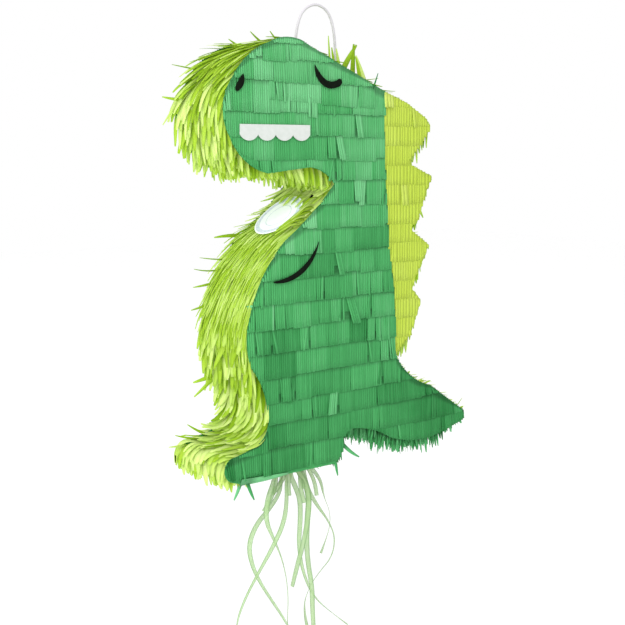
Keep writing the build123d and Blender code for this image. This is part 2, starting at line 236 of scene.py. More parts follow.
@dataclass(frozen=True)
class CardFinish:
    """Paper or board: a mottled colour, fibres, and flutes where it is corrugated board."""

    name: str
    light: tuple[float, float, float]
    dark: tuple[float, float, float]
    mottle: float = 60.0
    fibre: float = 700.0
    roughness: float = 0.8
    bump: float = 0.25
    gloss: float = 0.3
    flutes: bool = False

    def build(self) -> bpy.types.Material:
        """Makes the material on the piece's own coordinates.

        Returns:
            The material.
        """
        made, tree, shader = new_shader(self.name)
        place = add_node(tree, "TexCoord")
        patches = add_node(tree, "TexNoise", {"Scale": self.mottle, "Detail": 6.0})
        ramp = add_node(tree, "ValToRGB")
        ramp.color_ramp.elements[0].position = 0.3
        ramp.color_ramp.elements[1].position = 0.7
        ramp.color_ramp.elements[0].color = linear(*self.dark)
        ramp.color_ramp.elements[1].color = linear(*self.light)
        fibres = add_node(tree, "TexNoise", {"Scale": self.fibre, "Detail": 5.0})
        bump = add_node(tree, "Bump", {"Strength": self.bump, "Distance": 0.0004})
        link = tree.links.new
        link(place.outputs["Object"], patches.inputs["Vector"])
        link(place.outputs["Object"], fibres.inputs["Vector"])
        link(patches.outputs[0], ramp.inputs[0])
        colour = ramp.outputs[0]
        height = fibres.outputs[0]
        if self.flutes:
            waves = add_node(
                tree, "TexWave", {"Scale": 48.0, "Distortion": 0.4}, bands_direction="X"
            )
            ridges = blend_colours(tree, "MULTIPLY", 0.16)
            sum_up = add_node(tree, "Math", {1: 0.5}, operation="MULTIPLY_ADD")
            link(place.outputs["Object"], waves.inputs["Vector"])
            link(colour, ridges.inputs[6])
            link(waves.outputs["Color"], ridges.inputs[7])
            link(waves.outputs["Fac"], sum_up.inputs[0])
            link(height, sum_up.inputs[2])
            colour, height = ridges.outputs[2], sum_up.outputs[0]
        link(colour, shader.inputs["Base Color"])
        link(height, bump.inputs["Height"])
        link(bump.outputs[0], shader.inputs["Normal"])
        shader.inputs["Roughness"].default_value = self.roughness
        shader.inputs["Specular IOR Level"].default_value = self.gloss
        return made


@dataclass(frozen=True)
class RibbonFinish:
    """Sheer curling ribbon: see-through in the middle, denser along its edges."""

    name: str
    middle: tuple[float, float, float] = (178, 206, 154)
    edge: tuple[float, float, float] = (140, 176, 120)
    clear: float = 0.36

    def build(self) -> bpy.types.Material:
        """Makes the material on the ribbon's own map, across and along.

        Returns:
            The material.
        """
        made, tree, shader = new_shader(self.name)
        uv = add_node(tree, "UVMap", uv_map="Strand")
        split = add_node(tree, "SeparateXYZ")
        ramp = add_node(tree, "ValToRGB")
        ramp.color_ramp.elements[0].color = linear(*self.edge)
        ramp.color_ramp.elements[0].position = 0.06
        ramp.color_ramp.elements[1].color = linear(*self.edge)
        ramp.color_ramp.elements[1].position = 0.94
        ramp.color_ramp.elements.new(0.24).color = linear(*self.middle)
        ramp.color_ramp.elements.new(0.76).color = linear(*self.middle)
        ribs = add_node(tree, "TexNoise", {"Scale": 9.0, "Detail": 4.0})
        bump = add_node(tree, "Bump", {"Strength": 0.3, "Distance": 0.0003})
        through = add_node(tree, "BsdfTranslucent")
        clear = add_node(tree, "BsdfTransparent")
        soft = add_node(tree, "MixShader", {0: 0.4})
        sheer = add_node(tree, "MixShader", {0: self.clear})
        link = tree.links.new
        link(uv.outputs[0], split.inputs[0])
        link(uv.outputs[0], ribs.inputs["Vector"])
        link(split.outputs["X"], ramp.inputs[0])
        link(ramp.outputs[0], shader.inputs["Base Color"])
        link(ramp.outputs[0], through.inputs["Color"])
        link(ribs.outputs[0], bump.inputs["Height"])
        link(bump.outputs[0], shader.inputs["Normal"])
        shader.inputs["Roughness"].default_value = 0.34
        link(shader.outputs[0], soft.inputs[1])
        link(through.outputs[0], soft.inputs[2])
        link(soft.outputs[0], sheer.inputs[1])
        link(clear.outputs[0], sheer.inputs[2])
        link(sheer.outputs[0], tree.nodes["Material Output"].inputs[0])
        return made


@dataclass(frozen=True)
class CordFinish:
    """Pale grey cotton twine, with fibres along its plies."""

    name: str
    light: tuple[float, float, float] = (204, 201, 206)
    dark: tuple[float, float, float] = (184, 181, 187)

    def build(self) -> bpy.types.Material:
        """Makes the material on the cord's own map, round and along.

        Returns:
            The material.
        """
        made, tree, shader = new_shader(self.name)
        uv = add_node(tree, "UVMap", uv_map="Strand")
        stretch = add_node(tree, "Mapping", {"Scale": (6.0, 60.0, 1.0)})
        hairs = add_node(tree, "TexNoise", {"Scale": 4.0, "Detail": 6.0})
        ramp = add_node(tree, "ValToRGB")
        ramp.color_ramp.elements[0].position = 0.3
        ramp.color_ramp.elements[1].position = 0.62
        ramp.color_ramp.elements[0].color = linear(*self.dark)
        ramp.color_ramp.elements[1].color = linear(*self.light)
        bump = add_node(tree, "Bump", {"Strength": 0.2, "Distance": 0.0003})
        link = tree.links.new
        link(uv.outputs[0], stretch.inputs[0])
        link(stretch.outputs[0], hairs.inputs["Vector"])
        link(hairs.outputs[0], ramp.inputs[0])
        link(ramp.outputs[0], shader.inputs["Base Color"])
        link(hairs.outputs[0], bump.inputs["Height"])
        link(bump.outputs[0], shader.inputs["Normal"])
        shader.inputs["Roughness"].default_value = 0.7
        shader.inputs["Sheen Weight"].default_value = 0.2
        return made


@dataclass(frozen=True)
class LabelFinish:
    """A blank round sticker: matt white paper with faint printed rings."""

    name: str
    paper: tuple[float, float, float] = (240, 247, 250)
    ink: tuple[float, float, float] = (138, 160, 186)
    rings: float = 26.0

    def build(self) -> bpy.types.Material:
        """Makes the material on the label's own map, whose middle is at a half.

        Returns:
            The material.
        """
        made, tree, shader = new_shader(self.name)
        uv = add_node(tree, "UVMap", uv_map="Strand")
        centred = add_node(tree, "Mapping", {"Location": (-0.5, -0.5, 0.0)})
        length = add_node(tree, "VectorMath", operation="LENGTH")
        bands = add_node(tree, "ValToRGB")
        bands.color_ramp.interpolation = "EASE"
        marks = bands.color_ramp.elements
        marks[0].color = linear(*self.paper)
        marks[1].color = linear(*self.paper)
        for position, colour in (
            (0.235, self.paper),
            (0.25, self.ink),
            (0.265, self.paper),
            (0.36, self.paper),
            (0.38, self.ink),
            (0.44, self.ink),
            (0.455, self.paper),
        ):
            marks.new(position).color = linear(*colour)
        specks = add_node(tree, "TexNoise", {"Scale": self.rings, "Detail": 5.0})
        fade = blend_colours(tree, "MIX", 0.4)
        fade.inputs[7].default_value = linear(*self.paper)
        bump = add_node(tree, "Bump", {"Strength": 0.12, "Distance": 0.0003})
        link = tree.links.new
        link(uv.outputs[0], centred.inputs[0])
        link(centred.outputs[0], length.inputs[0])
        link(length.outputs["Value"], bands.inputs[0])
        link(bands.outputs[0], fade.inputs[6])
        link(uv.outputs[0], specks.inputs["Vector"])
        link(specks.outputs[0], fade.inputs[0])
        link(fade.outputs[2], shader.inputs["Base Color"])
        link(specks.outputs[0], bump.inputs["Height"])
        link(bump.outputs[0], shader.inputs["Normal"])
        shader.inputs["Roughness"].default_value = 0.42
        return made


@dataclass(frozen=True)
class Finishes:
    """All the materials, by what they are on."""

    lime: bpy.types.Material
    green: bpy.types.Material
    crest: bpy.types.Material
    board: bpy.types.Material
    tape: bpy.types.Material
    black: bpy.types.Material
    white: bpy.types.Material
    label: bpy.types.Material
    cord: bpy.types.Material
    ribbon: bpy.types.Material

    def paper(self, shade: Shade) -> bpy.types.Material:
        """The tissue of a shade."""
        return {Shade.LIME: self.lime, Shade.GREEN: self.green, Shade.CREST: self.crest}[shade]


def mix_finishes() -> Finishes:
    """Makes every material once.

    Returns:
        The finishes.
    """
    return Finishes(
        # Each tissue is drawn darker at its strands' roots, as painted shade.
        lime=TissueFinish(
            "lime tissue", (136, 176, 16), (178, 210, 62), (218, 234, 150), glow=0.5,
            # the lime tissue also emits its colour, a painted glow
            painted_root_shade=0.26, root_from=0.0, root_to=0.6, crease=0.2, painted_glow=0.26,
        ).build(),
        green=TissueFinish(
            "green tissue", (38, 124, 60), (78, 172, 100), (122, 202, 140), painted_root_shade=0.42
        ).build(),
        crest=TissueFinish(
            "crest tissue", (174, 198, 54), (190, 213, 76), (206, 224, 112), painted_root_shade=0.06,
            crease=0.06,
        ).build(),
        board=CardFinish("grey board", (190, 176, 150), (158, 140, 112), flutes=True).build(),
        tape=CardFinish("green paper tape", (70, 150, 88), (52, 128, 70), bump=0.15).build(),
        black=CardFinish(
            "black card", (14, 22, 12), (6, 12, 6), mottle=200.0, roughness=0.9, gloss=0.08
        ).build(),
        white=CardFinish(
            "white card", (198, 202, 198), (190, 196, 190), mottle=200.0, roughness=0.6
        ).build(),
        label=LabelFinish("blank sticker").build(),
        cord=CordFinish("grey twine").build(),
        ribbon=RibbonFinish("sheer ribbon").build(),
    )


# ------------------------------------------------------------------ paper strands
def deselect() -> None:
    """Leaves nothing selected or active."""
    if bpy.context.object is not None and bpy.context.object.mode != "OBJECT":
        bpy.ops.object.mode_set(mode="OBJECT")
    bpy.ops.object.select_all(action="DESELECT")
    bpy.context.view_layer.objects.active = None


def only(piece: bpy.types.Object) -> None:
    """Makes a piece the one selected and active object.

    Args:
        piece: the piece.
    """
    deselect()
    piece.select_set(True)
    bpy.context.view_layer.objects.active = piece


def place_new(name: str, data: bpy.types.ID) -> bpy.types.Object:
    """Puts new data into the scene at the origin.

    Args:
        name: the object's name.
        data: its mesh, curve, light or camera.

    Returns:
        The object.
    """
    made = bpy.data.objects.new(name, data)
    bpy.context.scene.collection.objects.link(made)
    return made


def face_outwards(piece: bpy.types.Object) -> None:
    """Turns every face of a closed piece outwards.

    Args:
        piece: the piece.
    """
    only(piece)
    bpy.ops.object.mode_set(mode="EDIT")
    bpy.ops.mesh.select_all(action="SELECT")
    bpy.ops.mesh.normals_make_consistent(inside=False)
    bpy.ops.object.mode_set(mode="OBJECT")


@dataclass
class Snip:
    """One closed snip of paper, modelled flat: X across, Y from root to tip, Z through it."""

    columns: int
    steps: int
    tip_share: float
    corners: np.ndarray = field(init=False)
    faces: np.ndarray = field(init=False)

    def __post_init__(self) -> None:
        """Models the snip with the operators and keeps its corners and faces."""
        deselect()
        bpy.ops.mesh.primitive_grid_add(
            x_subdivisions=self.columns, y_subdivisions=self.steps, size=2, location=(0, 1, 0)
        )
        sheet = bpy.context.object
        bpy.ops.object.transform_apply(location=True, rotation=False, scale=False)
        for step in range(self.steps + 1):
            along = step / self.steps
            bpy.ops.object.mode_set(mode="EDIT")
            bpy.ops.mesh.select_mode(type="VERT")
            bpy.ops.mesh.select_all(action="DESELECT")
            bpy.ops.object.mode_set(mode="OBJECT")
            for corner in sheet.data.vertices:
                corner.select = abs(corner.co.y - 2 * along) < 1e-3
            bpy.ops.object.mode_set(mode="EDIT")
            narrow = 1 - (1 - self.tip_share) * along**2.2
            bpy.ops.transform.resize(value=(narrow, 1, 1), center_override=(0, 2 * along, 0))
        bpy.ops.object.mode_set(mode="OBJECT")
        wall = sheet.modifiers.new("thickness", "SOLIDIFY")
        wall.thickness = 1.0
        wall.offset = 1.0
        bpy.ops.object.modifier_apply(modifier=wall.name)
        mesh = sheet.data
        self.corners = np.array([corner.co for corner in mesh.vertices]) * (1, 0.5, 1)
        self.faces = np.array([face.vertices for face in mesh.polygons])
        bpy.data.objects.remove(sheet)
        bpy.data.meshes.remove(mesh)


@dataclass
class Strands:
    """Paper strands of one sheet: each is a row of stations from root to tip."""

    snip: Snip
    thickness: float = 0.00016
    middles: list[np.ndarray] = field(default_factory=list)
    outwards: list[np.ndarray] = field(default_factory=list)
    halves: list[float] = field(default_factory=list)
    tones: list[float] = field(default_factory=list)
    curls: list[float] = field(default_factory=list)

    def add(
        self, middle: np.ndarray, outward: np.ndarray, half: float, tone: float, curl: float
    ) -> None:
        """Adds one strand.

        Args:
            middle: its stations, from root to tip.
            outward: the direction it faces at each station.
            half: half its width at the root.
            tone: 0 for the deepest colour to 1 for the palest.
            curl: how far its middle bows out, as a share of its half width.
        """
        self.middles.append(middle)
        self.outwards.append(outward)
        self.halves.append(half)
        self.tones.append(tone)
        self.curls.append(curl)

    def corners(self) -> np.ndarray:
        """Bends the snip along every strand.

        Returns:
            The corners, by strand and in the snip's own order.
        """
        middle, outward = np.array(self.middles), np.array(self.outwards)
        steps = middle.shape[1] - 1
        along = np.gradient(middle, axis=1)
        across = np.cross(along, outward)
        across /= np.maximum(np.linalg.norm(across, axis=2, keepdims=True), 1e-12)
        face = np.cross(across, along)
        face /= np.maximum(np.linalg.norm(face, axis=2, keepdims=True), 1e-12)
        station = np.clip(np.rint(self.snip.corners[:, 1] * steps).astype(int), 0, steps)
        side = self.snip.corners[:, 0][None, :, None]
        depth = self.snip.corners[:, 2][None, :, None]
        half = np.array(self.halves)[:, None, None]
        bow = np.array(self.curls)[:, None, None] * half * (1 - side**2)
        return (
            middle[:, station]
            + across[:, station] * side * half
            + face[:, station] * (depth * self.thickness + bow)
        )

    def build(
        self, name: str, material: bpy.types.Material, corners: np.ndarray | None = None
    ) -> bpy.types.Object:
        """Makes one mesh of all the strands.

        Args:
            name: the piece's name.
            material: its finish.
            corners: the corners, where they were trimmed after corners().

        Returns:
            The piece.
        """
        corners = self.corners() if corners is None else corners
        count, per = corners.shape[0], corners.shape[1]
        faces = (self.snip.faces[None] + (np.arange(count) * per)[:, None, None]).reshape(-1, 4)
        mesh = bpy.data.meshes.new(name)
        mesh.vertices.add(count * per)
        mesh.vertices.foreach_set("co", corners.astype(np.float32).ravel())
        mesh.loops.add(faces.size)
        mesh.loops.foreach_set("vertex_index", faces.astype(np.int32).ravel())
        mesh.polygons.add(len(faces))
        mesh.polygons.foreach_set("loop_start", np.arange(0, faces.size, 4, dtype=np.int32))
        mesh.update(calc_edges=True)
        tones = mesh.attributes.new("tone", "FLOAT", "POINT")
        tones.data.foreach_set("value", np.repeat(self.tones, per).astype(np.float32))
        layer = mesh.uv_layers.new(name="Strand")
        flat = np.stack([self.snip.corners[:, 0] * 0.5 + 0.5, self.snip.corners[:, 1]], 1)
        shift = (np.arange(count) * 7.31) % 97.0
        across = flat[None, :, 0] + shift[:, None] * 2.0
        both = np.stack([across, np.broadcast_to(flat[None, :, 1], across.shape)], 2)
        layer.data.foreach_set("uv", both.reshape(-1, 2)[faces.ravel()].astype(np.float32).ravel())
        mesh.materials.append(material)
        piece = place_new(name, mesh)
        log.info("%s: %d strands, %d faces", name, count, len(faces))
        return piece


# ------------------------------------------------------------------ the body's outline
BAND_ZONES = {
    "crown": Shade.LIME,
    "muzzle": Shade.LIME,
    "jaw": Shade.LIME,
    "chest": Shade.LIME,
    "belly": Shade.LIME,
    "toe": Shade.LIME,
    "sole": Shade.GREEN,
    "heel": Shade.GREEN,
    "tail_under": Shade.GREEN,
    "tail_top": Shade.LIME,
    "crest_lower": Shade.LIME,
    "crest_upper": Shade.LIME,
}


def face_loop(node: str, plane: float) -> np.ndarray:
    """Reads the edge of a flat CAD sheet on one of its planes.

    Args:
        node: the CAD node.
        plane: the plane's Y.

    Returns:
        The corners of its longest closed edge, as X and Z, in order.
    """
    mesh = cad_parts[node].data
    places = np.array([corner.co for corner in mesh.vertices])
    keys = [tuple(np.rint(place * 1e6).astype(int)) for place in places]
    count: dict[tuple, int] = {}
    for face in mesh.polygons:
        if all(abs(places[index][1] - plane) < 2e-5 for index in face.vertices):
            ring = [keys[index] for index in face.vertices]
            for start, end in zip(ring, ring[1:] + ring[:1]):
                edge = (min(start, end), max(start, end))
                count[edge] = count.get(edge, 0) + 1
    near: dict[tuple, list] = {}
    for (start, end), seen in count.items():
        if seen == 1:
            near.setdefault(start, []).append(end)
            near.setdefault(end, []).append(start)
    best: list[tuple] = []
    left = set(near)
    while left:
        first = min(left)
        ring = [first]
        left.discard(first)
        while True:
            onward = [key for key in near[ring[-1]] if key in left]
            if not onward:
                break
            ring.append(onward[0])
            left.discard(onward[0])
        if len(ring) > len(best):
            best = ring
    return np.array(best, float)[:, [0, 2]] / 1e6


def distances(path: np.ndarray) -> np.ndarray:
    """How far along a path each of its points is."""
    return np.concatenate([[0], np.cumsum(np.linalg.norm(np.diff(path, axis=0), axis=1))])


def resample(line: np.ndarray, pitch: float, closed: bool) -> np.ndarray:
    """Walks a line in even steps.

    Args:
        line: its corners.
        pitch: the step.
        closed: whether its end joins its start.

    Returns:
        The points.
    """
    line = np.vstack([line, line[:1]]) if closed else line
    steps = np.linalg.norm(np.diff(line, axis=0), axis=1)
    keep = np.concatenate([[True], steps > 1e-9])
    line = line[keep]
    far = distances(line)
    count = max(int(round(far[-1] / pitch)), 2)
    places = np.linspace(0, far[-1], count, endpoint=not closed)
    return np.stack([np.interp(places, far, line[:, axis]) for axis in range(2)], 1)


def inside(polygon: np.ndarray, points: np.ndarray) -> np.ndarray:
    """Says which points lie inside a closed polygon.

    Args:
        polygon: its corners.
        points: the points.

    Returns:
        One truth value for each point.
    """
    start, end = polygon, np.roll(polygon, -1, axis=0)
    found = np.zeros(len(points), bool)
    for first in range(0, len(points), 4000):
        x, z = points[first : first + 4000, 0:1], points[first : first + 4000, 1:2]
        cross = (start[None, :, 1] > z) != (end[None, :, 1] > z)
        rise = end[None, :, 1] - start[None, :, 1]
        rise = np.where(np.abs(rise) < 1e-15, 1e-15, rise)
        at = start[None, :, 0] + (z - start[None, :, 1]) / rise * (end - start)[None, :, 0]
        found[first : first + 4000] = (np.sum(cross & (x < at), axis=1) % 2) == 1
    return found


def heights(polygon: np.ndarray, x: float) -> np.ndarray:
    """Finds where an upright line crosses a polygon.

    Args:
        polygon: its corners.
        x: where the line is.

    Returns:
        The heights, from low to high.
    """
    start, end = polygon, np.roll(polygon, -1, axis=0)
    cross = (start[:, 0] > x) != (end[:, 0] > x)
    run = end[cross, 0] - start[cross, 0]
    return np.sort(start[cross, 1] + (x - start[cross, 0]) / run * (end - start)[cross, 1])


@dataclass
class Outline:
    """The body's outer line: even points, outward normals and the stretch each belongs to."""

    pitch: float = 0.001
    smooth_over: int = 4
    body: np.ndarray = field(init=False)
    crest: np.ndarray = field(init=False)
    points: np.ndarray = field(init=False)
    normals: np.ndarray = field(init=False)
    zones: list[str] = field(init=False)

    def __post_init__(self) -> None:
        """Reads the line from the CAD sheets of the front face."""
        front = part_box("front_body_fringe")[0].y
        self.body = face_loop("front_body_fringe", front)
        self.crest = face_loop("front_crest_fringe", front)
        outer = self.open_part(self.body, self.crest)
        spines = self.open_part(self.crest, self.body)
        if np.linalg.norm(outer[-1] - spines[0]) > np.linalg.norm(outer[-1] - spines[-1]):
            spines = spines[::-1]
        loop = resample(np.vstack([outer, spines]), self.pitch, True)
        ahead = np.roll(loop, -1, axis=0)
        area = np.sum(loop[:, 0] * ahead[:, 1] - ahead[:, 0] * loop[:, 1]) / 2
        self.points = loop if area > 0 else loop[::-1].copy()
        tangent = np.roll(self.points, -3, axis=0) - np.roll(self.points, 3, axis=0)
        normal = np.stack([tangent[:, 1], -tangent[:, 0]], 1)
        for _ in range(self.smooth_over):
            normal = (np.roll(normal, 1, 0) + 2 * normal + np.roll(normal, -1, 0)) / 4
        self.normals = normal / np.linalg.norm(normal, axis=1, keepdims=True)
        trees = {}
        for zone in BAND_ZONES:
            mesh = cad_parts[zone + "_fringe"].data
            trees[zone] = BVHTree.FromPolygons(
                [corner.co for corner in mesh.vertices],
                [face.vertices for face in mesh.polygons],
            )
        self.zones = []
        for point, normal in zip(self.points, self.normals):
            within = Vector((point[0] - normal[0] * 0.002, 0, point[1] - normal[1] * 0.002))
            far = {zone: (tree.find_nearest(within)[3] or 0.0) for zone, tree in trees.items()}
            self.zones.append(min(far, key=far.get))
        log.info("outline: %d points round", len(self.points))

    @staticmethod
    def open_part(loop: np.ndarray, other: np.ndarray) -> np.ndarray:
        """The run of one loop that doesn't lie along the other.

        Args:
            loop: the loop to cut.
            other: the loop that it shares a run with.

        Returns:
            The points of the run that is left, in order.
        """
        fine = resample(loop, 0.001, True)
        near = resample(other, 0.0005, True)
        gap = np.array([np.min(np.linalg.norm(near - point, axis=1)) for point in fine])
        shared = gap < 0.0009
        start = next(i for i in range(len(fine)) if shared[i - 1] and not shared[i])
        turned, flags = np.roll(fine, -start, axis=0), np.roll(shared, -start)
        runs, run = [], []
        for point, flag in zip(turned, flags):
            if flag:
                if len(run) > 2:
                    runs.append(run)
                run = []
            else:
                run.append(point)
        if len(run) > 2:
            runs.append(run)
        return np.array(max(runs, key=len))

    def at(self, place: np.ndarray) -> tuple[np.ndarray, np.ndarray]:
        """The points and normals at places along the line.

        Args:
            place: distances along it, in metres.

        Returns:
            The points and the normals.
        """
        count = len(self.points)
        index = np.asarray(place) / self.pitch
        low = np.floor(index).astype(int)
        share = (index - low)[..., None]
        low %= count
        high = (low + 1) % count
        point = self.points[low] * (1 - share) + self.points[high] * share
        normal = self.normals[low] * (1 - share) + self.normals[high] * share
        return point, normal / np.linalg.norm(normal, axis=-1, keepdims=True)

    def nearest(self, x: float, z: float) -> float:
        """The distance along the line of its point nearest to a place."""
        return float(np.argmin(np.hypot(self.points[:, 0] - x, self.points[:, 1] - z))) * self.pitch

    def pull_in(self, flat: np.ndarray, limit: float, rng: np.random.Generator) -> np.ndarray:
        """Trims corners that stick out past the line.

        Args:
            flat: the corners' X and Z.
            limit: how far they may stick out.
            rng: the generator for the ragged edge.

        Returns:
            The trimmed X and Z.
        """
        out = np.where(~inside(self.points, flat))[0]
        trimmed = flat.copy()
        for first in range(0, len(out), 2000):
            part = out[first : first + 2000]
            gap = flat[part][:, None, :] - self.points[None]
            far = np.hypot(gap[..., 0], gap[..., 1])
            best = np.argmin(far, axis=1)
            size = far[np.arange(len(part)), best]
            allowed = limit * rng.uniform(0.2, 1.0, len(part))
            under = self.normals[best, 1] < -0.5
            allowed = np.where(under, 0.006, allowed)
            over = size > allowed
            to = self.points[best] + self.normals[best] * allowed[:, None]
            trimmed[part[over]] = to[over]
        return trimmed


# ------------------------------------------------------------------ flat faces
@dataclass(frozen=True)
class Row:
    """One row of fringe: the height of its cut edge at two places."""

    left: float
    right: float
    from_x: float = -0.3
    to_x: float = 0.3

    def edge(self, x: float) -> float:
        """The height of its cut edge at x, in the row frame."""
        share = (x + 0.145) / 0.29
        return (self.left + (self.right - self.left) * share - 305.25) * MM


BODY_ROWS = (
    Row(-174, -172), Row(-149, -147), Row(-123, -120), Row(-100, -97), Row(-73, -71),
    Row(-48, -46), Row(-23, -20), Row(2, 4), Row(27, 30), Row(51, 54), Row(77, 78),
    Row(101, 102), Row(127, 126), Row(148, 148), Row(172, 171), Row(195, 193),
    Row(209, 196, -0.09, 0.045), Row(226, 223), Row(246, 244), Row(262, 262),
)  # fmt: skip
CREST_ROWS = tuple(Row(edge, edge - 1) for edge in range(-68, 240, 21))


@dataclass
class FaceSheet:
    """A flat sheet of paper under the fringe, and the fringe in rows on it."""

    name: str
    side: Side
    shade: Shade
    polygon: np.ndarray
    rows: tuple[Row, ...]
    base: float
    seed: int
    window: tuple[float, float, float, float] | None = None
    kept_low: tuple[tuple[float, float, float, float], ...] = ()
    snip_width: tuple[float, float] = (1.9, 3.2)
    overlap: float = 0.009
    tone_middle: float = 0.5
    torn_share: float = 0.13
    lift: tuple[float, float] = (0.6, 1.9)
    group_width: tuple[float, float] = (0.010, 0.048)
    drop_spread: float = 0.8
    tone_spread: float = 0.10
    snip_spread: float = 0.035
    bow: float = 0.08

    def tone_at(self, x: float, z: float) -> float:
        """How pale the strands are drawn: paler higher up towards the head as painted light, and
        darker low down towards the tail as painted shade.

        Args:
            x: the place along X.
            z: its height.

        Returns:
            The tone.
        """
        if self.shade is Shade.CREST:
            return self.tone_middle
        # painted light: paler with height, for light that falls from above
        low = self.tone_middle + 1.15 * (z + 0.26)
        # painted shade: darker low down towards the tail
        return low - 0.9 * max(0.0, x - 0.06) * (z < -0.36)

    def spans(self, x: float, low: float, high: float) -> list[tuple[float, float]]:
        """The parts of an upright strip that lie on the sheet.

        Args:
            x: where the strip is.
            low: its lower end.
            high: its upper end.

        Returns:
            The lower and upper end of each part.
        """
        marks = heights(self.polygon, x)
        found = []
        for bottom, top in zip(marks[0::2], marks[1::2]):
            a, b = max(bottom, low), min(top, high)
            if b - a > 0.003:
                found.append((a, b))
        if self.window is not None:
            x0, z0, x1, z1 = self.window
            if x0 < x < x1:
                cut = []
                for a, b in found:
                    if min(b, z0) - a > 0.002:
                        cut.append((a, min(b, z0)))
                    if b - max(a, z1) > 0.002:
                        cut.append((max(a, z1), b))
                found = cut
        return found

    def next_edge(self, number: int, x: float) -> float:
        """The height at x of the cut edge of the next row up that reaches there."""
        for over in self.rows[number + 1 :]:
            if over.from_x <= x <= over.to_x:
                return over.edge(x)
        return self.rows[number].edge(x)

    def near_papers(self, x: float, low: float, high: float) -> bool:
        """Whether a strip runs under an eye, mouth, nostril or arm paper."""
        return any(
            x0 - 0.002 < x < x1 + 0.002 and low < z1 + 0.002 and high > z0 - 0.002
            for x0, z0, x1, z1 in self.kept_low
        )

    def fringe(self, snip: Snip, outline: Outline) -> tuple[Strands, np.ndarray]:
        """Lays the rows.

        Args:
            snip: the snip that each strand is a copy of.
            outline: the body's outline.

        Returns:
            The strands and their trimmed corners.
        """
        rng = np.random.default_rng(self.seed)
        strands = Strands(snip)
        sign = self.side.value
        left, right = self.polygon[:, 0].min(), self.polygon[:, 0].max()
        along = np.linspace(0, 1, snip.steps + 1)
        for number, row in enumerate(self.rows):
            x = max(left, row.from_x)
            end = min(right, row.to_x)
            while x < end:
                loose = rng.random() < self.torn_share
                wide = rng.uniform(0.005, 0.011) if loose else rng.uniform(*self.group_width)
                group_end = min(x + wide, end)
                tip_lift = rng.uniform(*self.lift) * MM
                drop = rng.normal(0, self.drop_spread) * MM
                slant = rng.normal(0, 0.014)
                lean = rng.normal(0, 0.008)
                group_tone = rng.normal(0, self.tone_spread)
                if loose:
                    tip_lift += rng.uniform(0.5, 2.6) * MM
                    lean += rng.normal(0, 0.12)
                    # lifted groups are drawn a little paler on average, painted light on lifted
                    # tissue, with random tone besides
                    group_tone += rng.normal(0.05, 0.2)
                    drop += rng.normal(0, 1.6) * MM
                middle_x = (x + group_end) / 2
                while x < group_end:
                    width = rng.uniform(*self.snip_width) * MM
                    centre = x + width / 2
                    x += width
                    edge = row.edge(centre) + drop + slant * (centre - middle_x)
                    edge += rng.normal(0, 0.22) * MM
                    above = self.next_edge(number, centre)
                    top = max(row.edge(centre) + 0.016, above) + self.overlap
                    lift, tilt, tone = tip_lift, lean, group_tone
                    if rng.random() < self.torn_share * 0.3:
                        lift += rng.uniform(0.2, 1.4) * MM
                        tilt += rng.normal(0, 0.1)
                        # single lifted strands likewise, a little paler on average as painted
                        # light, with random tone besides
                        tone += rng.normal(0.02, 0.12)
                        edge += rng.normal(0, 1.2) * MM
                    lift *= rng.uniform(0.94, 1.06)
                    for low, high in self.spans(centre, edge, top):
                        under = self.near_papers(centre, low, high)
                        raised = min(lift, 1.5 * MM) if under else lift
                        length = high - low
                        swing = 0.0 if under else tilt
                        xs = centre + swing * length * along
                        zs = high - length * along
                        ys = sign * (self.base + 0.00035 + raised * along**1.25)
                        stations = np.stack([xs, ys, zs], 1)
                        facing = np.tile([0.0, sign, 0.0], (len(along), 1))
                        value = self.tone_at(centre, (low + high) / 2) + tone
                        value += rng.normal(0, self.snip_spread)
                        strands.add(stations, facing, width / 2, value, rng.uniform(0, self.bow))
        corners = strands.corners()
        shape = corners.shape
        loose = corners.reshape(-1, 3)
        loose[:, [0, 2]] = outline.pull_in(loose[:, [0, 2]], 0.0012, rng)
        if self.window is not None:
            loose = self.keep_out_of_window(loose, shape)
        return strands, loose.reshape(shape)

    def keep_out_of_window(self, loose: np.ndarray, shape: tuple[int, ...]) -> np.ndarray:
        """Holds the strands beside the flap clear of its edge.

        Args:
            loose: every corner.
            shape: the shape of the corners by strand.

        Returns:
            The corners, with those inside the window moved to its nearer upright edge.
        """
        x0, z0, x1, z1 = self.window
        corners = loose.reshape(shape)
        middle = corners[:, :, 0].mean(axis=1)
        for x_edge, outer in ((x0, middle <= x0), (x1, middle >= x1)):
            level = (corners[:, :, 2] > z0) & (corners[:, :, 2] < z1)
            if x_edge == x0:
                wrong = outer[:, None] & level & (corners[:, :, 0] > x0)
            else:
                wrong = outer[:, None] & level & (corners[:, :, 0] < x1)
            corners[..., 0] = np.where(wrong, x_edge, corners[..., 0])
        return corners.reshape(-1, 3)

    def under_paper(self, name: str, material: bpy.types.Material) -> bpy.types.Object:
        """Cuts the plain sheet that the rows are pasted on.

        Args:
            name: the piece's name.
            material: its finish.

        Returns:
            The piece.
        """
        deselect()
        sign = self.side.value
        mesh = bpy.data.meshes.new(name)
        line = self.polygon
        mesh.from_pydata(
            [(x, sign * self.base, z) for x, z in line],
            [(i, (i + 1) % len(line)) for i in range(len(line))],
            [],
        )
        piece = place_new(name, mesh)
        only(piece)
        bpy.ops.object.mode_set(mode="EDIT")
        bpy.ops.mesh.select_all(action="SELECT")
        bpy.ops.mesh.fill()
        bpy.ops.mesh.select_all(action="SELECT")
        bpy.ops.mesh.extrude_region_move(TRANSFORM_OT_translate={"value": (0, -sign * 0.0002, 0)})
        bpy.ops.mesh.select_all(action="SELECT")
        bpy.ops.mesh.normals_make_consistent(inside=False)
        bpy.ops.object.mode_set(mode="OBJECT")
        if self.window is not None:
            self.cut_window(piece)
        plain_map(piece, self.tone_middle - 0.1)
        mesh.materials.append(material)
        return piece

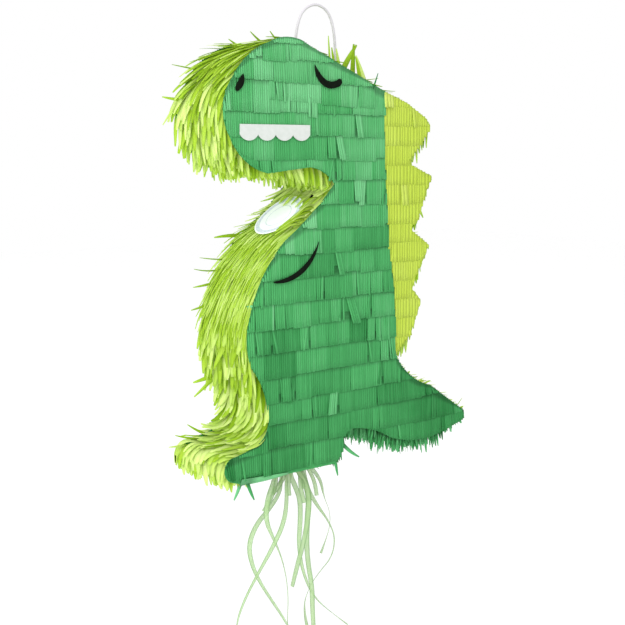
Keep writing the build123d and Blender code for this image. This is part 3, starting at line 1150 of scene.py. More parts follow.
    def cut_window(self, piece: bpy.types.Object) -> None:
        """Cuts the flap's opening out of a sheet.

        Args:
            piece: the sheet.
        """
        x0, z0, x1, z1 = self.window
        bpy.ops.mesh.primitive_cube_add(
            size=1, location=((x0 + x1) / 2, self.side.value * self.base, (z0 + z1) / 2)
        )
        cutter = bpy.context.object
        cutter.scale = (x1 - x0, 0.02, z1 - z0)
        only(piece)
        cut = piece.modifiers.new("opening", "BOOLEAN")
        cut.object = cutter
        cut.operation = "DIFFERENCE"
        cut.solver = "EXACT"
        bpy.ops.object.modifier_apply(modifier=cut.name)
        bpy.data.objects.remove(cutter)


def plain_map(piece: bpy.types.Object, tone: float) -> None:
    """Gives a plain sheet the map and tone that the tissue finish reads.

    Args:
        piece: the sheet.
        tone: how pale it is.
    """
    mesh = piece.data
    tones = mesh.attributes.new("tone", "FLOAT", "POINT")
    tones.data.foreach_set("value", np.full(len(mesh.vertices), tone, np.float32))
    layer = mesh.uv_layers.new(name="Strand")
    flat = []
    for loop in mesh.loops:
        place = mesh.vertices[loop.vertex_index].co
        flat.extend(((place.x + place.y) * 300, 0.9 + 0.09 * math.sin(place.z * 40)))
    layer.data.foreach_set("uv", np.array(flat, np.float32))


# ------------------------------------------------------------------ the strip round the edge
@dataclass(frozen=True)
class BandStyle:
    """How the strands of one stretch are cut and lie."""

    length: tuple[float, float] = (28, 42)
    width: tuple[float, float] = (2.4, 4.2)
    row_pitch: float = 7.0
    lift: tuple[float, float] = (0.5, 4.5)
    stray: float = 0.04
    tone: float = 0.5
    tone_spread: float = 0.16
    yaw: float = 0.10
    gravity: float = 0.92


BAND_STYLES = {
    "crown": BandStyle(
        length=(22, 34), width=(6.0, 11.0), tone=0.34, lift=(1.5, 6.5), row_pitch=10.0,
        stray=0.05, yaw=0.14, tone_spread=0.14,
    ),
    "muzzle": BandStyle(
        length=(24, 38), width=(6.0, 11.5), tone=0.6, tone_spread=0.26, lift=(1.5, 6.5),
        row_pitch=10.0, stray=0.03, yaw=0.12, gravity=0.55,
    ),
    "jaw": BandStyle(
        length=(16, 28), width=(4.4, 8.4), tone=0.6, lift=(0.5, 2.5), row_pitch=8.0, gravity=0.62
    ),
    "throat": BandStyle(
        length=(20, 34), width=(4.4, 8.4), tone=0.95, tone_spread=0.26, lift=(1.0, 5.0),
        row_pitch=9.0, stray=0.03, yaw=0.2,
    ),
    "chest": BandStyle(
        length=(30, 50), width=(2.4, 4.4), tone=0.6, tone_spread=0.11, lift=(0.3, 1.2),
        row_pitch=8.0, stray=0.01, yaw=0.04,
    ),
    "belly": BandStyle(
        length=(22, 36), width=(6.0, 12.0), tone=0.66, tone_spread=0.27, lift=(0.5, 4.5),
        row_pitch=10.0, stray=0.05, yaw=0.18,
    ),
    "toe": BandStyle(
        length=(14, 26), width=(7.0, 15.0), tone=0.82, tone_spread=0.24, lift=(0.5, 3.0),
        row_pitch=9.0, stray=0.03, gravity=0.7,
    ),
    "sole": BandStyle(
        length=(5, 10), width=(2.6, 5.0), tone=0.35, lift=(0.2, 0.9), row_pitch=5.5, stray=0.0,
        gravity=0.08,
    ),
    "heel": BandStyle(
        length=(8, 15), width=(2.6, 5.0), tone=0.4, lift=(0.3, 2.0), row_pitch=6.0, stray=0.02
    ),
    "tail_under": BandStyle(
        length=(7, 17), width=(2.4, 4.6), tone=0.5, lift=(0.5, 4.0), row_pitch=5.5, stray=0.04,
        yaw=0.2,
    ),
    "tail_top": BandStyle(
        length=(12, 22), width=(3.0, 5.6), tone=0.6, lift=(2.0, 5.5), row_pitch=6.5, stray=0.03
    ),
    "crest_lower": BandStyle(
        length=(10, 22), width=(3.0, 5.6), tone=0.75, lift=(0.3, 2.5), row_pitch=6.5, stray=0.03
    ),
    "crest_upper": BandStyle(
        length=(10, 22), width=(3.0, 5.6), tone=0.75, lift=(0.3, 2.5), row_pitch=6.5, stray=0.03
    ),
}


HEAD_FLOOR = (
    (-0.16, -0.134), (-0.143, -0.146), (-0.12, -0.165), (-0.095, -0.174), (-0.075, -0.171),
    (-0.05, -0.172), (-0.03, -0.186), (0.0, -0.2),
)  # fmt: skip


@dataclass
class EdgeBand:
    """The fringed strip round the edge, one piece for each stretch."""

    outline: Outline
    snip: Snip
    finishes: Finishes
    half_depth: float = 0.0418
    root_depth: float = 0.0031
    loop_legs: tuple[float, float] = (-0.027, 0.027)
    leg_clear: tuple[float, float] = (0.008, 0.006)
    throat_from: float = -0.213
    far_swell: float = 0.0045
    tail_tip: float = 0.184
    tail_taper: float = 0.035
    toe_floor: float = -0.4875
    heel_floor: float = -0.4845
    door: tuple[float, float, float, float] = (-0.0795, -0.0305, -0.0165, 0.0305)
    door_clear: float = 0.003
    hinge_clear: float = 0.014
    label_reach: float = 0.034
    label_lift: float = 0.0018
    label_place: float = field(init=False)
    label_span: tuple[float, float] = field(init=False)
    muzzle_span: tuple[float, float] = field(init=False)

    def __post_init__(self) -> None:
        """Reads where the label and the muzzle are."""
        low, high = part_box("chest_label")
        self.label_place = self.outline.nearest((low.x + high.x) / 2, (low.z + high.z) / 2)
        self.label_span = (low.y - 0.006, high.y + 0.004)
        low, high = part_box("muzzle_fringe")
        self.muzzle_span = (low.z, high.z)

    def downhill(self, place: float) -> int:
        """Which way along the line is down.

        Args:
            place: the distance along the line.

        Returns:
            1 where that way is onward, or -1.
        """
        point, normal = self.outline.at(np.array([place]))
        ahead, _ = self.outline.at(np.array([place + 0.006]))
        drop = ahead[0][1] - point[0][1]
        if normal[0][1] < -0.8:
            return 1 if ahead[0][0] > point[0][0] else -1
        return 1 if drop < 0 else -1

    def lay(
        self,
        place: float,
        y: float,
        way: int,
        length: float,
        lift: float,
        yaw: float,
        gravity: float,
    ) -> tuple[np.ndarray, np.ndarray]:
        """The stations of one strand, which follows the surface and hangs where that turns under.

        Args:
            place: the root's distance along the outline.
            y: the root's place across the strip.
            way: the direction along the outline, 1 or -1.
            length: the strand's length.
            lift: how far its tip stands off.
            yaw: how far it leans sideways for its length.
            gravity: how nearly upright it hangs where the surface faces down, 0 to 1.

        Returns:
            The stations and the direction that each faces.
        """
        along = np.linspace(0, 1, self.snip.steps + 1)
        point, normal = self.outline.at(place + way * length * along)
        step = length / self.snip.steps
        strayed = np.zeros(2)
        spots, faces = [], []
        for index, share in enumerate(along):
            if index:
                tangent = point[index] - point[index - 1]
                size = np.linalg.norm(tangent)
                tangent = tangent / size if size > 1e-9 else np.array([0.0, -1.0])
                under = float(np.clip((-normal[index][1] - 0.15) * 1.5, 0, 1)) * gravity
                heading = tangent * (1 - under) + np.array([0.0, -1.0]) * under
                heading /= np.linalg.norm(heading)
                strayed = strayed + (heading - tangent) * step
            off = -self.root_depth + 0.0006 + (self.root_depth + lift) * share**1.3
            spots.append(point[index] + normal[index] * off + strayed)
            faces.append(normal[index])
        spots, faces = np.array(spots), np.array(faces)
        ys = y + yaw * length * along
        stations = np.stack([spots[:, 0], ys, spots[:, 1]], 1)
        facing = np.stack([faces[:, 0], np.zeros(len(along)), faces[:, 1]], 1)
        return stations, facing

    def blocked(self, zone: str, point: np.ndarray, y: float) -> bool:
        """Whether a strand's root would be on the trap door or at a leg of the loop.

        Args:
            zone: the stretch's name.
            point: the root's X and Z.
            y: the root's place across the strip.

        Returns:
            True where no strand may be.
        """
        if zone in ("sole", "heel"):
            x0, y0, x1, y1 = self.door
            reach = self.door_clear if y < y1 - 0.006 else self.hinge_clear
            return x0 - reach < point[0] < x1 + reach and y0 - 0.002 < y < y1 + 0.006
        if zone in ("crown", "muzzle"):
            along, across = self.leg_clear
            return any(abs(point[0] - leg) < along and abs(y) < across for leg in self.loop_legs)
        return False

    def lowest(self, zone: str, x: float) -> float:
        """How low the tips of a stretch may hang.

        Args:
            zone: the stretch's name.
            x: where the tip is.

        Returns:
            The lowest Z.
        """
        if zone in ("toe", "heel"):
            return self.toe_floor if zone == "toe" else self.heel_floor
        if zone not in ("muzzle", "jaw"):
            return -1.0
        return float(np.interp(x, *zip(*HEAD_FLOOR)))

    def clump(self, place: float, y: float) -> float:
        """A slow change of tone over a stretch, where sheets of the paper overlap."""
        first = math.sin(place * 210 + 3.1 * math.sin(y * 70)) * math.sin(y * 130 + place * 60)
        return first + 0.6 * math.sin(place * 95 + y * 240 + 1.7)

    def tone_at(self, zone: str, style: BandStyle, point: np.ndarray) -> float:
        """How pale the strands are drawn: the muzzle darkens towards the crown, as painted shade on
        its upper strands.

        Args:
            zone: the stretch's name.
            style: the style there.
            point: the place, as X and Z.

        Returns:
            The tone.
        """
        if zone == "muzzle":
            low, high = self.muzzle_span
            # painted shade: paler low on the muzzle, darker towards the crown
            return 0.86 - 0.44 * (point[1] - low) / (high - low)
        return style.tone

    def near_label(self, place: float, length: float, y: float) -> bool:
        """Whether a strand of a length from a place runs under the chest label."""
        low, high = self.label_span
        return abs(place - self.label_place) < self.label_reach + length and low < y < high

    def indices(self, zone: str) -> list[int]:
        """The points of the outline that belong to a stretch."""
        return [index for index, name in enumerate(self.outline.zones) if name == zone]

    def style_at(self, zone: str, point: np.ndarray) -> BandStyle:
        """The style at a place: the chest is looser close under the jaw."""
        if zone == "chest" and point[1] > self.throat_from:
            return BAND_STYLES["throat"]
        return BAND_STYLES[zone]

    def stretch(self, zone: str, seed: int) -> bpy.types.Object:
        """Lays the strands of one stretch.

        Args:
            zone: the stretch's name.
            seed: the seed of its draws.

        Returns:
            The piece.
        """
        rng = np.random.default_rng(seed)
        style = BAND_STYLES[zone]
        strands = Strands(self.snip, thickness=0.00018)
        places = np.array(self.indices(zone)) * self.outline.pitch
        count = max(int(len(places) * self.outline.pitch * 1000 / style.row_pitch), 1)
        for row in range(count):
            base = places[int((row + 0.5) / count * len(places))]
            style = self.style_at(zone, self.outline.at(np.array([base]))[0][0])
            row_tone = rng.normal(0, 0.07)
            y = -self.half_depth
            while y < self.half_depth:
                width = rng.uniform(*style.width) * MM
                centre = y + width / 2
                y += width * 0.92
                start = base + rng.normal(0, 2.4) * MM
                point, _ = self.outline.at(np.array([start]))
                if self.blocked(zone, point[0], centre):
                    continue
                way = self.downhill(start)
                length = rng.uniform(*style.length) * MM
                if zone.startswith("tail"):
                    share = (self.tail_tip - point[0][0]) / self.tail_taper
                    length *= float(np.clip(share, 0.2, 1.0))
                lift = rng.uniform(*style.lift) * rng.uniform(0.2, 1.0) * MM
                if BAND_ZONES[zone] is Shade.LIME:
                    lift += self.far_swell * max(0.0, centre - 0.012) / 0.03
                yaw = rng.normal(0, style.yaw)
                tone = self.tone_at(zone, style, point[0]) + row_tone
                tone += 0.1 * self.clump(start, centre)
                tone += rng.normal(0, style.tone_spread)
                if rng.random() < style.stray:
                    lift += rng.uniform(2.5, 8.0) * MM
                    yaw += rng.normal(0, 0.25)
                if self.near_label(start, length, centre):
                    lift = min(lift, self.label_lift)
                edge = self.half_depth + 0.0016
                far_edge = edge + (self.far_swell if BAND_ZONES[zone] is Shade.LIME else 0.0)
                if centre > 0.02:
                    yaw += abs(rng.normal(0, 0.12))
                yaw = float(np.clip(yaw, (-edge - centre) / length, (far_edge - centre) / length))
                stations, facing = self.lay(start, centre, way, length, lift, yaw, style.gravity)
                lowest = self.lowest(zone, stations[-1][0])
                if stations[-1][2] < lowest:
                    drop = stations[0][2] - stations[-1][2]
                    share = (stations[0][2] - lowest + rng.normal(0, 2.2) * MM) / drop
                    length *= float(np.clip(share, 0.2, 1.0))
                    stations, facing = self.lay(
                        start, centre, way, length, lift, yaw, style.gravity
                    )
                strands.add(stations, facing, width / 2, tone, rng.uniform(0.02, 0.22))
        piece = strands.build(zone + "_strands", self.finishes.paper(BAND_ZONES[zone]))
        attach(piece, "shell")
        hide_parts(zone + "_fringe")
        return piece

    def backing(self, zone: str) -> bpy.types.Object:
        """Makes the plain paper strip under the strands of one stretch.

        Args:
            zone: the stretch's name.

        Returns:
            The piece.
        """
        indices = self.indices(zone)
        gaps = [k for k in range(1, len(indices)) if indices[k] - indices[k - 1] > 1]
        if gaps:
            indices = indices[gaps[0]:] + indices[: gaps[0]]
        indices = indices[::3] + [indices[-1]]
        outer = self.outline.points[indices] - self.outline.normals[indices] * self.root_depth
        inner = outer - self.outline.normals[indices] * 0.0003
        depth = self.half_depth
        door = self.door if zone == "sole" else None
        made = bmesh.new()
        cuts = [(-depth, depth)]
        if door is not None:
            cuts = [(-depth, door[1]), (door[3], depth)]
        for low, high in cuts:
            self.strip(made, outer, inner, low, high)
        if door is not None:
            for keep in (outer[:, 0] < door[0], outer[:, 0] > door[2]):
                if keep.sum() > 1:
                    self.strip(made, outer[keep], inner[keep], door[1], door[3])
        mesh = bpy.data.meshes.new(zone + "_paper")
        bmesh.ops.recalc_face_normals(made, faces=made.faces)
        made.to_mesh(mesh)
        made.free()
        piece = place_new(zone + "_paper", mesh)
        plain_map(piece, BAND_STYLES[zone].tone - 0.15)
        mesh.materials.append(self.finishes.paper(BAND_ZONES[zone]))
        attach(piece, "shell")
        return piece

    @staticmethod
    def strip(
        made: bmesh.types.BMesh, outer: np.ndarray, inner: np.ndarray, low: float, high: float
    ) -> None:
        """Adds one closed strip of paper between two lines.

        Args:
            made: the mesh it is added to.
            outer: the outer line, as X and Z.
            inner: the inner line.
            low: its lower limit along Y.
            high: its upper limit along Y.
        """
        rings = []
        for (ox, oz), (ix, iz) in zip(outer, inner):
            rings.append([
                made.verts.new((ox, low, oz)), made.verts.new((ox, high, oz)),
                made.verts.new((ix, high, iz)), made.verts.new((ix, low, iz)),
            ])  # fmt: skip
        for one, two in zip(rings, rings[1:]):
            for side in range(4):
                other = (side + 1) % 4
                made.faces.new((one[side], one[other], two[other], two[side]))
        made.faces.new(rings[0][::-1])
        made.faces.new(rings[-1])

    def build(self) -> None:
        """Makes every stretch and the paper under it."""
        for number, zone in enumerate(BAND_ZONES):
            self.stretch(zone, 100 + number)
            self.backing(zone)


# ------------------------------------------------------------------ cords
def spline_points(name: str, route: list[tuple[float, float, float]]) -> np.ndarray:
    """Reads the smooth line of a route from a NURBS spline.

    Args:
        name: a name for the curve, which is removed again.
        route: the route's points, in metres.

    Returns:
        The points of the smooth line.
    """
    curve = bpy.data.curves.new(name, "CURVE")
    curve.dimensions = "3D"
    spline = curve.splines.new("NURBS")
    spline.points.add(len(route) - 1)
    for point, place in zip(spline.points, route):
        point.co = (*place, 1.0)
    spline.order_u = 3
    spline.use_endpoint_u = True
    spline.resolution_u = 12
    holder = place_new(name, curve)
    bpy.context.view_layer.update()
    line = bpy.data.meshes.new_from_object(holder)
    points = np.array([corner.co for corner in line.vertices])
    bpy.data.objects.remove(holder)
    bpy.data.curves.remove(curve)
    bpy.data.meshes.remove(line)
    return points


def carried_frame(path: np.ndarray, across: np.ndarray) -> tuple[np.ndarray, np.ndarray]:
    """Carries a sideways direction along a path without twisting it.

    Args:
        path: the path's points.
        across: the sideways direction at its start.

    Returns:
        Two directions square to the path at every point.
    """
    along = np.gradient(path, axis=0)
    along /= np.linalg.norm(along, axis=1, keepdims=True)
    side = np.array(across, float)
    sides = []
    for heading in along:
        side = side - heading * float(side @ heading)
        side /= np.linalg.norm(side)
        sides.append(side)
    sides = np.array(sides)
    return sides, np.cross(along, sides)


def tube_mesh(name: str, rings: np.ndarray, turns: np.ndarray) -> bpy.types.Object:
    """Joins rings of corners into a closed tube with its own map.

    Args:
        name: the piece's name.
        rings: the corners by ring.
        turns: where each corner of a ring is across the map, 0 to 1.

    Returns:
        The piece.
    """
    count, per = rings.shape[0], rings.shape[1]
    faces = []
    for ring in range(count - 1):
        for corner in range(per):
            other = (corner + 1) % per
            faces.append((
                ring * per + corner, ring * per + other,
                (ring + 1) * per + other, (ring + 1) * per + corner,
            ))  # fmt: skip
    faces.append(tuple(range(per))[::-1])
    faces.append(tuple((count - 1) * per + corner for corner in range(per)))
    mesh = bpy.data.meshes.new(name)
    mesh.from_pydata(rings.reshape(-1, 3).tolist(), [], faces)
    layer = mesh.uv_layers.new(name="Strand")
    flat = np.empty((len(mesh.loops), 2), np.float32)
    index = np.empty(len(mesh.loops), np.int32)
    mesh.loops.foreach_get("vertex_index", index)
    flat[:, 0] = turns[index % per]
    flat[:, 1] = (index // per) / (count - 1)
    layer.data.foreach_set("uv", flat.ravel())
    tones = mesh.attributes.new("tone", "FLOAT", "POINT")
    tones.data.foreach_set("value", np.full(count * per, 0.5, np.float32))
    piece = place_new(name, mesh)
    face_outwards(piece)
    return piece


@dataclass
class HangingLoop:
    """The twine that the body hangs from: two plies twisted together."""

    diameter: float = 0.003
    length: float = 0.1994
    ply_swell: float = 0.05
    turn_pitch: float = 0.0075
    round_corners: int = 14
    route: tuple[tuple[float, float, float], ...] = (
        (-0.027, 0, -0.0717), (-0.027, 0, -0.046), (-0.0252, 0, -0.0225), (-0.0175, 0, -0.003),
        (0, 0, 0.0054), (0.0168, 0, -0.0016), (0.0243, 0, -0.0195), (0.0266, 0, -0.043),
        (0.027, 0, -0.068), (0.027, 0, -0.09442),
    )  # fmt: skip

    def build(self, finishes: Finishes) -> bpy.types.Object:
        """Sweeps the twine along its smooth line.

        Args:
            finishes: the materials.

        Returns:
            The piece.
        """
        path = spline_points("loop_line", list(self.route))
        one, two = carried_frame(path, np.array([0.0, 1.0, 0.0]))
        far = distances(path)
        angle = np.linspace(0, 2 * math.pi, self.round_corners, endpoint=False)
        twist = far / self.turn_pitch * 2 * math.pi
        radius = self.diameter / 2 * (
            1 - self.ply_swell / 2 + self.ply_swell * np.cos(2 * (angle[None] - twist[:, None] / 2))
        )
        rings = (
            path[:, None]
            + one[:, None] * (np.cos(angle)[None] * radius)[..., None]
            + two[:, None] * (np.sin(angle)[None] * radius)[..., None]
        )
        piece = tube_mesh("loop_twine", rings, np.linspace(0, 1, self.round_corners))
        bpy.ops.object.shade_smooth()
        piece.data.materials.append(finishes.cord)
        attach(piece, "hanger")
        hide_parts("hanging_cord")
        return piece


RIBBON_STEPS = {
    "ribbon_1": ((0, 0, 0), (-3, 0, -14), (-15, -5, -31), (-19, -8, -51), (-9, -9, -74),
                 (3, -8, -100), (9, -9, -131), (10, -7, -166), (6, -9, -200)),
    "ribbon_2": ((0, 0, 0), (1, 1, -13), (1, 4, -29), (-12, 6, -45), (-28, 7, -59),
                 (-37, 8, -80), (-33, 7, -103), (-22, 8, -125), (-8, 7, -148), (8, 8, -172),
                 (22, 7, -198)),
    "ribbon_3": ((0, 0, 0), (0, 0, -13), (-6, -10, -33), (-14, -16, -54), (-29, -17, -77),
                 (-48, -16, -103), (-66, -17, -127), (-76, -16, -152), (-78, -17, -180)),
    "ribbon_4": ((0, 0, 0), (4, 6, -13), (15, 14, -27), (27, 20, -47), (28, 21, -72),
                 (26, 22, -100), (31, 21, -132), (46, 22, -165), (70, 21, -190), (96, 22, -212)),
    "ribbon_5": ((0, 0, 0), (6, 0, -12), (15, 0, -27), (18, 0, -48), (14, -1, -70),
                 (8, -1, -93), (1, 0, -115), (-6, -1, -135)),
    "ribbon_6": ((0, 0, 0), (5, 5, -13), (15, 11, -27), (22, 14, -46), (20, 15, -70),
                 (18, 14, -95), (21, 15, -122), (26, 14, -150), (27, 15, -180), (29, 14, -210)),
    "ribbon_7": ((0, 0, 0), (5, 9, -12), (15, 20, -27), (27, 29, -46), (43, 35, -66),
                 (60, 36, -88), (70, 36, -110), (64, 35, -132), (46, 36, -146), (30, 35, -161),
                 (23, 36, -183), (28, 35, -206)),
    "ribbon_8": ((0, 0, 0), (7, 7, -10), (20, 17, -20), (33, 24, -34), (40, 28, -54),
                 (50, 28, -76), (48, 29, -99), (36, 28, -120)),
}  # fmt: skip


@dataclass
class PullRibbons:
    """Eight sheer ribbons tied along the trap door's free edge."""

    width: float = 0.005
    thickness: float = 0.00018
    first_tie: tuple[float, float, float] = (-0.071, -0.0245, -0.4810475)
    tie_pitch: float = 0.0065
    lengths: tuple[float, ...] = (0.2096, 0.2258, 0.2033, 0.2476, 0.1422, 0.2178, 0.2509, 0.1454)
    widths: tuple[float, ...] = (5.6, 5.2, 4.8, 5.6, 6.4, 6.6, 4.6, 4.6)
    turns: tuple[float, ...] = (0.7, 0.6, 0.8, 0.5, 0.3, 0.25, 1.0, 0.9)
    faces: tuple[float, ...] = (0.0, 0.8, 0.75, 0.9, 0.0, 0.0, 0.7, 0.8)
    gutter: float = 0.18
    tails: tuple[tuple[float, tuple[float, float, float], float, float], ...] = (
        (0.2, (-17, -1, -41), 5.0, 2.3), (2.2, (-19, -1, -24), 3.0, 2.5),
        (5.2, (4, -1, -42), -3.0, 2.4), (6.2, (14, -1, -37), 3.0, 2.2),
        (4.0, (10, -1, -26), 2.0, 2.2), (3.1, (-3, -1, -30), -2.0, 2.6),
    )  # fmt: skip

    def one(self, number: int, finishes: Finishes) -> bpy.types.Object:
        """Sweeps one flat ribbon, which turns slowly as it falls.

        Args:
            number: its place along the door, from 0.
            finishes: the materials.

        Returns:
            The piece.
        """
        name = f"ribbon_{number + 1}"
        tie = np.array(self.first_tie) + np.array([self.tie_pitch * number, 0, 0])
        route = [tuple(tie + np.array(step) * MM) for step in RIBBON_STEPS[name]]
        path = spline_points(name + "_line", route)
        one, two = carried_frame(path, np.array([0.8, -0.6, 0.0]))
        far = distances(path)
        share = far / far[-1]
        turned = self.turns[number] * (share - 0.08 * np.sin(9 * share))
        angle = math.pi * (self.faces[number] + turned)
        across = one * np.cos(angle)[:, None] + two * np.sin(angle)[:, None]
        out = -one * np.sin(angle)[:, None] + two * np.cos(angle)[:, None]
        half = self.widths[number] / 2 * MM * (0.55 + 0.45 * np.clip(share * 9, 0, 1))
        slots = np.array([-1.0, -0.5, 0.0, 0.5, 1.0])
        bow = self.gutter * (1 - slots**2)
        front = (
            path[:, None]
            + across[:, None] * (slots[None] * half[:, None])[..., None]
            + out[:, None] * (bow[None] * half[:, None])[..., None]
        )
        back = front[:, ::-1] - out[:, None] * self.thickness
        rings = np.concatenate([front, back], axis=1)
        where = np.concatenate([slots * 0.5 + 0.5, slots[::-1] * 0.5 + 0.5])
        piece = tube_mesh(f"pull_{name}", rings, where)
        piece.data.materials.append(finishes.ribbon)
        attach(piece, "ribbons")
        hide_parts(name)
        return piece

    def tail(self, number: int, finishes: Finishes) -> bpy.types.Object:
        """Sweeps one short end that is left over at a tie.

        Args:
            number: its place in tails.
            finishes: the materials.

        Returns:
            The piece.
        """
        tie, run, sag, half = self.tails[number]
        along = np.linspace(0, 1, 12)
        start = np.array(self.first_tie) + np.array([self.tie_pitch * tie, 0.0012, -0.0025])
        path = start + np.array(run)[None] * MM * along[:, None]
        path[:, 0] += sag * MM * np.sin(along * math.pi)
        one, two = carried_frame(path, np.array([0.8, -0.6, 0.0]))
        slots = np.array([-1.0, 0.0, 1.0])
        front = (
            path[:, None]
            + one[:, None] * (slots[None] * half * MM)[..., None]
            + two[:, None] * (0.2 * half * MM * (1 - slots**2))[None, :, None]
        )
        back = front[:, ::-1] - two[:, None] * self.thickness
        where = np.concatenate([slots * 0.5 + 0.5, slots[::-1] * 0.5 + 0.5])
        piece = tube_mesh(f"tie_end_{number + 1}", np.concatenate([front, back], axis=1), where)
        piece.data.materials.append(finishes.ribbon)
        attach(piece, "ribbons")
        return piece

    def build(self, finishes: Finishes) -> None:
        """Makes all eight, and the short ends at their ties."""
        for number in range(8):
            self.one(number, finishes)
        for number in range(len(self.tails)):
            self.tail(number, finishes)


# ------------------------------------------------------------------ label
@dataclass
class ChestLabel:
    """A blank round sticker on the chest strip, bent round with it."""

    radius: float = 0.0298
    rings: int = 9
    spokes: int = 64
    stand_off: float = 0.0044
    thickness: float = 0.0004
    covers: tuple[tuple[float, float, float, float, float], ...] = (
        (-20, -36, 40, 0.30, 0.55), (-14, -38, 38, 0.36, 0.25), (-8, -39, 34, 0.42, 0.75),
        (-2, -39, 30, 0.46, 0.35), (-24, -33, 30, 0.10, 0.9), (-17, -35, 26, 0.12, 0.3),
        (5, -40, 26, 0.40, 0.6), (-34, -20, 22, 0.05, 0.7), (-36, -8, 20, 0.0, 0.4),
        (-35, 4, 22, -0.04, 0.8), (-36, 15, 20, -0.05, 0.5), (-34, -30, 24, 0.08, 0.3),
    )

    def build(self, outline: Outline, finishes: Finishes) -> bpy.types.Object:
        """Cuts the disc and bends it onto the chest.

        Args:
            outline: the body's outer line.
            finishes: the materials.

        Returns:
            The piece.
        """
        low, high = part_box("chest_label")
        place = outline.nearest((low.x + high.x) / 2, (low.z + high.z) / 2)
        middle_y = (low.y + high.y) / 2
        deselect()
        bpy.ops.mesh.primitive_circle_add(
            vertices=self.spokes, radius=self.radius, fill_type="NGON", location=(0, 0, 0)
        )
        piece = bpy.context.object
        piece.name = "chest_sticker"
        bpy.ops.object.mode_set(mode="EDIT")
        bpy.ops.mesh.select_mode(type="FACE")
        bpy.ops.mesh.select_all(action="SELECT")
        for _ in range(self.rings):
            bpy.ops.mesh.inset(thickness=self.radius / (self.rings + 1))
        bpy.ops.mesh.poke()
        bpy.ops.object.mode_set(mode="OBJECT")
        wall = piece.modifiers.new("thickness", "SOLIDIFY")
        wall.thickness = self.thickness
        wall.offset = 0
        bpy.ops.object.modifier_apply(modifier=wall.name)
        mesh = piece.data
        flat = np.array([corner.co for corner in mesh.vertices])
        layer = mesh.uv_layers.get("Strand") or mesh.uv_layers.new(name="Strand")
        index = np.empty(len(mesh.loops), np.int32)
        mesh.loops.foreach_get("vertex_index", index)
        uv = flat[:, :2] / (2 * self.radius) * 0.94 + 0.5
        layer.data.foreach_set("uv", uv[index].astype(np.float32).ravel())
        point, normal = outline.at(place + flat[:, 0])
        off = self.stand_off + flat[:, 2]
        bent = point + normal * off[:, None]
        placed = np.stack([bent[:, 0], middle_y + flat[:, 1], bent[:, 1]], 1)
        mesh.vertices.foreach_set("co", placed.astype(np.float32).ravel())
        mesh.update()
        face_outwards(piece)
        bpy.ops.object.shade_smooth_by_angle(angle=math.radians(40))
        mesh.materials.clear()
        mesh.materials.append(finishes.label)
        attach(piece, "shell")
        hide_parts("chest_label")
        return piece

    def cover(self, band: EdgeBand) -> bpy.types.Object:
        """Lays loose strands of the throat over the label's near upper part.

        Args:
            band: the fringed strip that the strands belong to.

        Returns:
            The piece.
        """
        low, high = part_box("chest_label")
        place = band.outline.nearest((low.x + high.x) / 2, (low.z + high.z) / 2)
        way = band.downhill(place)
        rng = np.random.default_rng(5)
        strands = Strands(band.snip, thickness=0.0002)
        for ahead, y, length, yaw, tone in self.covers:
            start = place + way * ahead * MM
            stations, facing = band.lay(start, y * MM, way, length * MM, -0.0025, yaw, 0.0)
            share = np.linspace(0, 1, len(stations))
            rise = self.stand_off * (0.6 + 1.25 * np.clip(share * 4, 0, 1))
            stations += facing * rise[:, None]
            strands.add(stations, facing, rng.uniform(2.4, 3.6) * MM, tone, 0.1)
        piece = strands.build("label_strands", band.finishes.lime)
        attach(piece, "shell")
        return piece


# ------------------------------------------------------------------ moving panels
@dataclass
class DoorFringe:
    """Short fringe under the trap door, clear of the ribbons' row of ties."""

    seed: int = 71
    rows: int = 7

    def build(self, snip: Snip, finishes: Finishes) -> bpy.types.Object:
        """Hangs the strands from the door.

        Args:
            snip: the snip that each strand is a copy of.
            finishes: the materials.

        Returns:
            The piece.
        """
        rng = np.random.default_rng(self.seed)
        low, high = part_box("door_fringe")
        strands = Strands(snip)
        along = np.linspace(0, 1, snip.steps + 1)
        for row in range(self.rows):
            y = high.y - 0.001 - (high.y - low.y - 0.004) * row / (self.rows - 1)
            x = low.x + 0.001
            while x < high.x - 0.002:
                width = rng.uniform(2.2, 3.6) * MM
                length = rng.uniform(3.0, 5.0) * MM
                sway, forward = rng.normal(0, 0.12), rng.uniform(0.5, 1.3)
                xs = x + width / 2 + sway * length * along
                ys = y - forward * length * along * 0.8
                zs = high.z - 0.0002 - length * along * (1 - 0.3 * forward)
                strands.add(
                    np.stack([xs, np.maximum(ys, low.y), zs], 1),
                    np.tile([0.0, -0.8, -0.6], (len(along), 1)),
                    width / 2,
                    0.42 + rng.normal(0, 0.12),
                    rng.uniform(0.05, 0.4),
                )
                x += width * 0.95
        piece = strands.build("door_strands", finishes.green)
        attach(piece, "trap_door")
        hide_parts("door_fringe")
        return piece


# ------------------------------------------------------------------ loose strips
@dataclass(frozen=True)
class LooseStrip:
    """One strip that has come away, in millimetres. Its shade is None where it is black card."""

    name: str
    start: tuple[float, float, float]
    run: tuple[float, float, float]
    width: float
    sag: float
    shade: Shade | None
    tone: float
    facing: tuple[float, float, float] = (0.0, -1.0, 0.2)


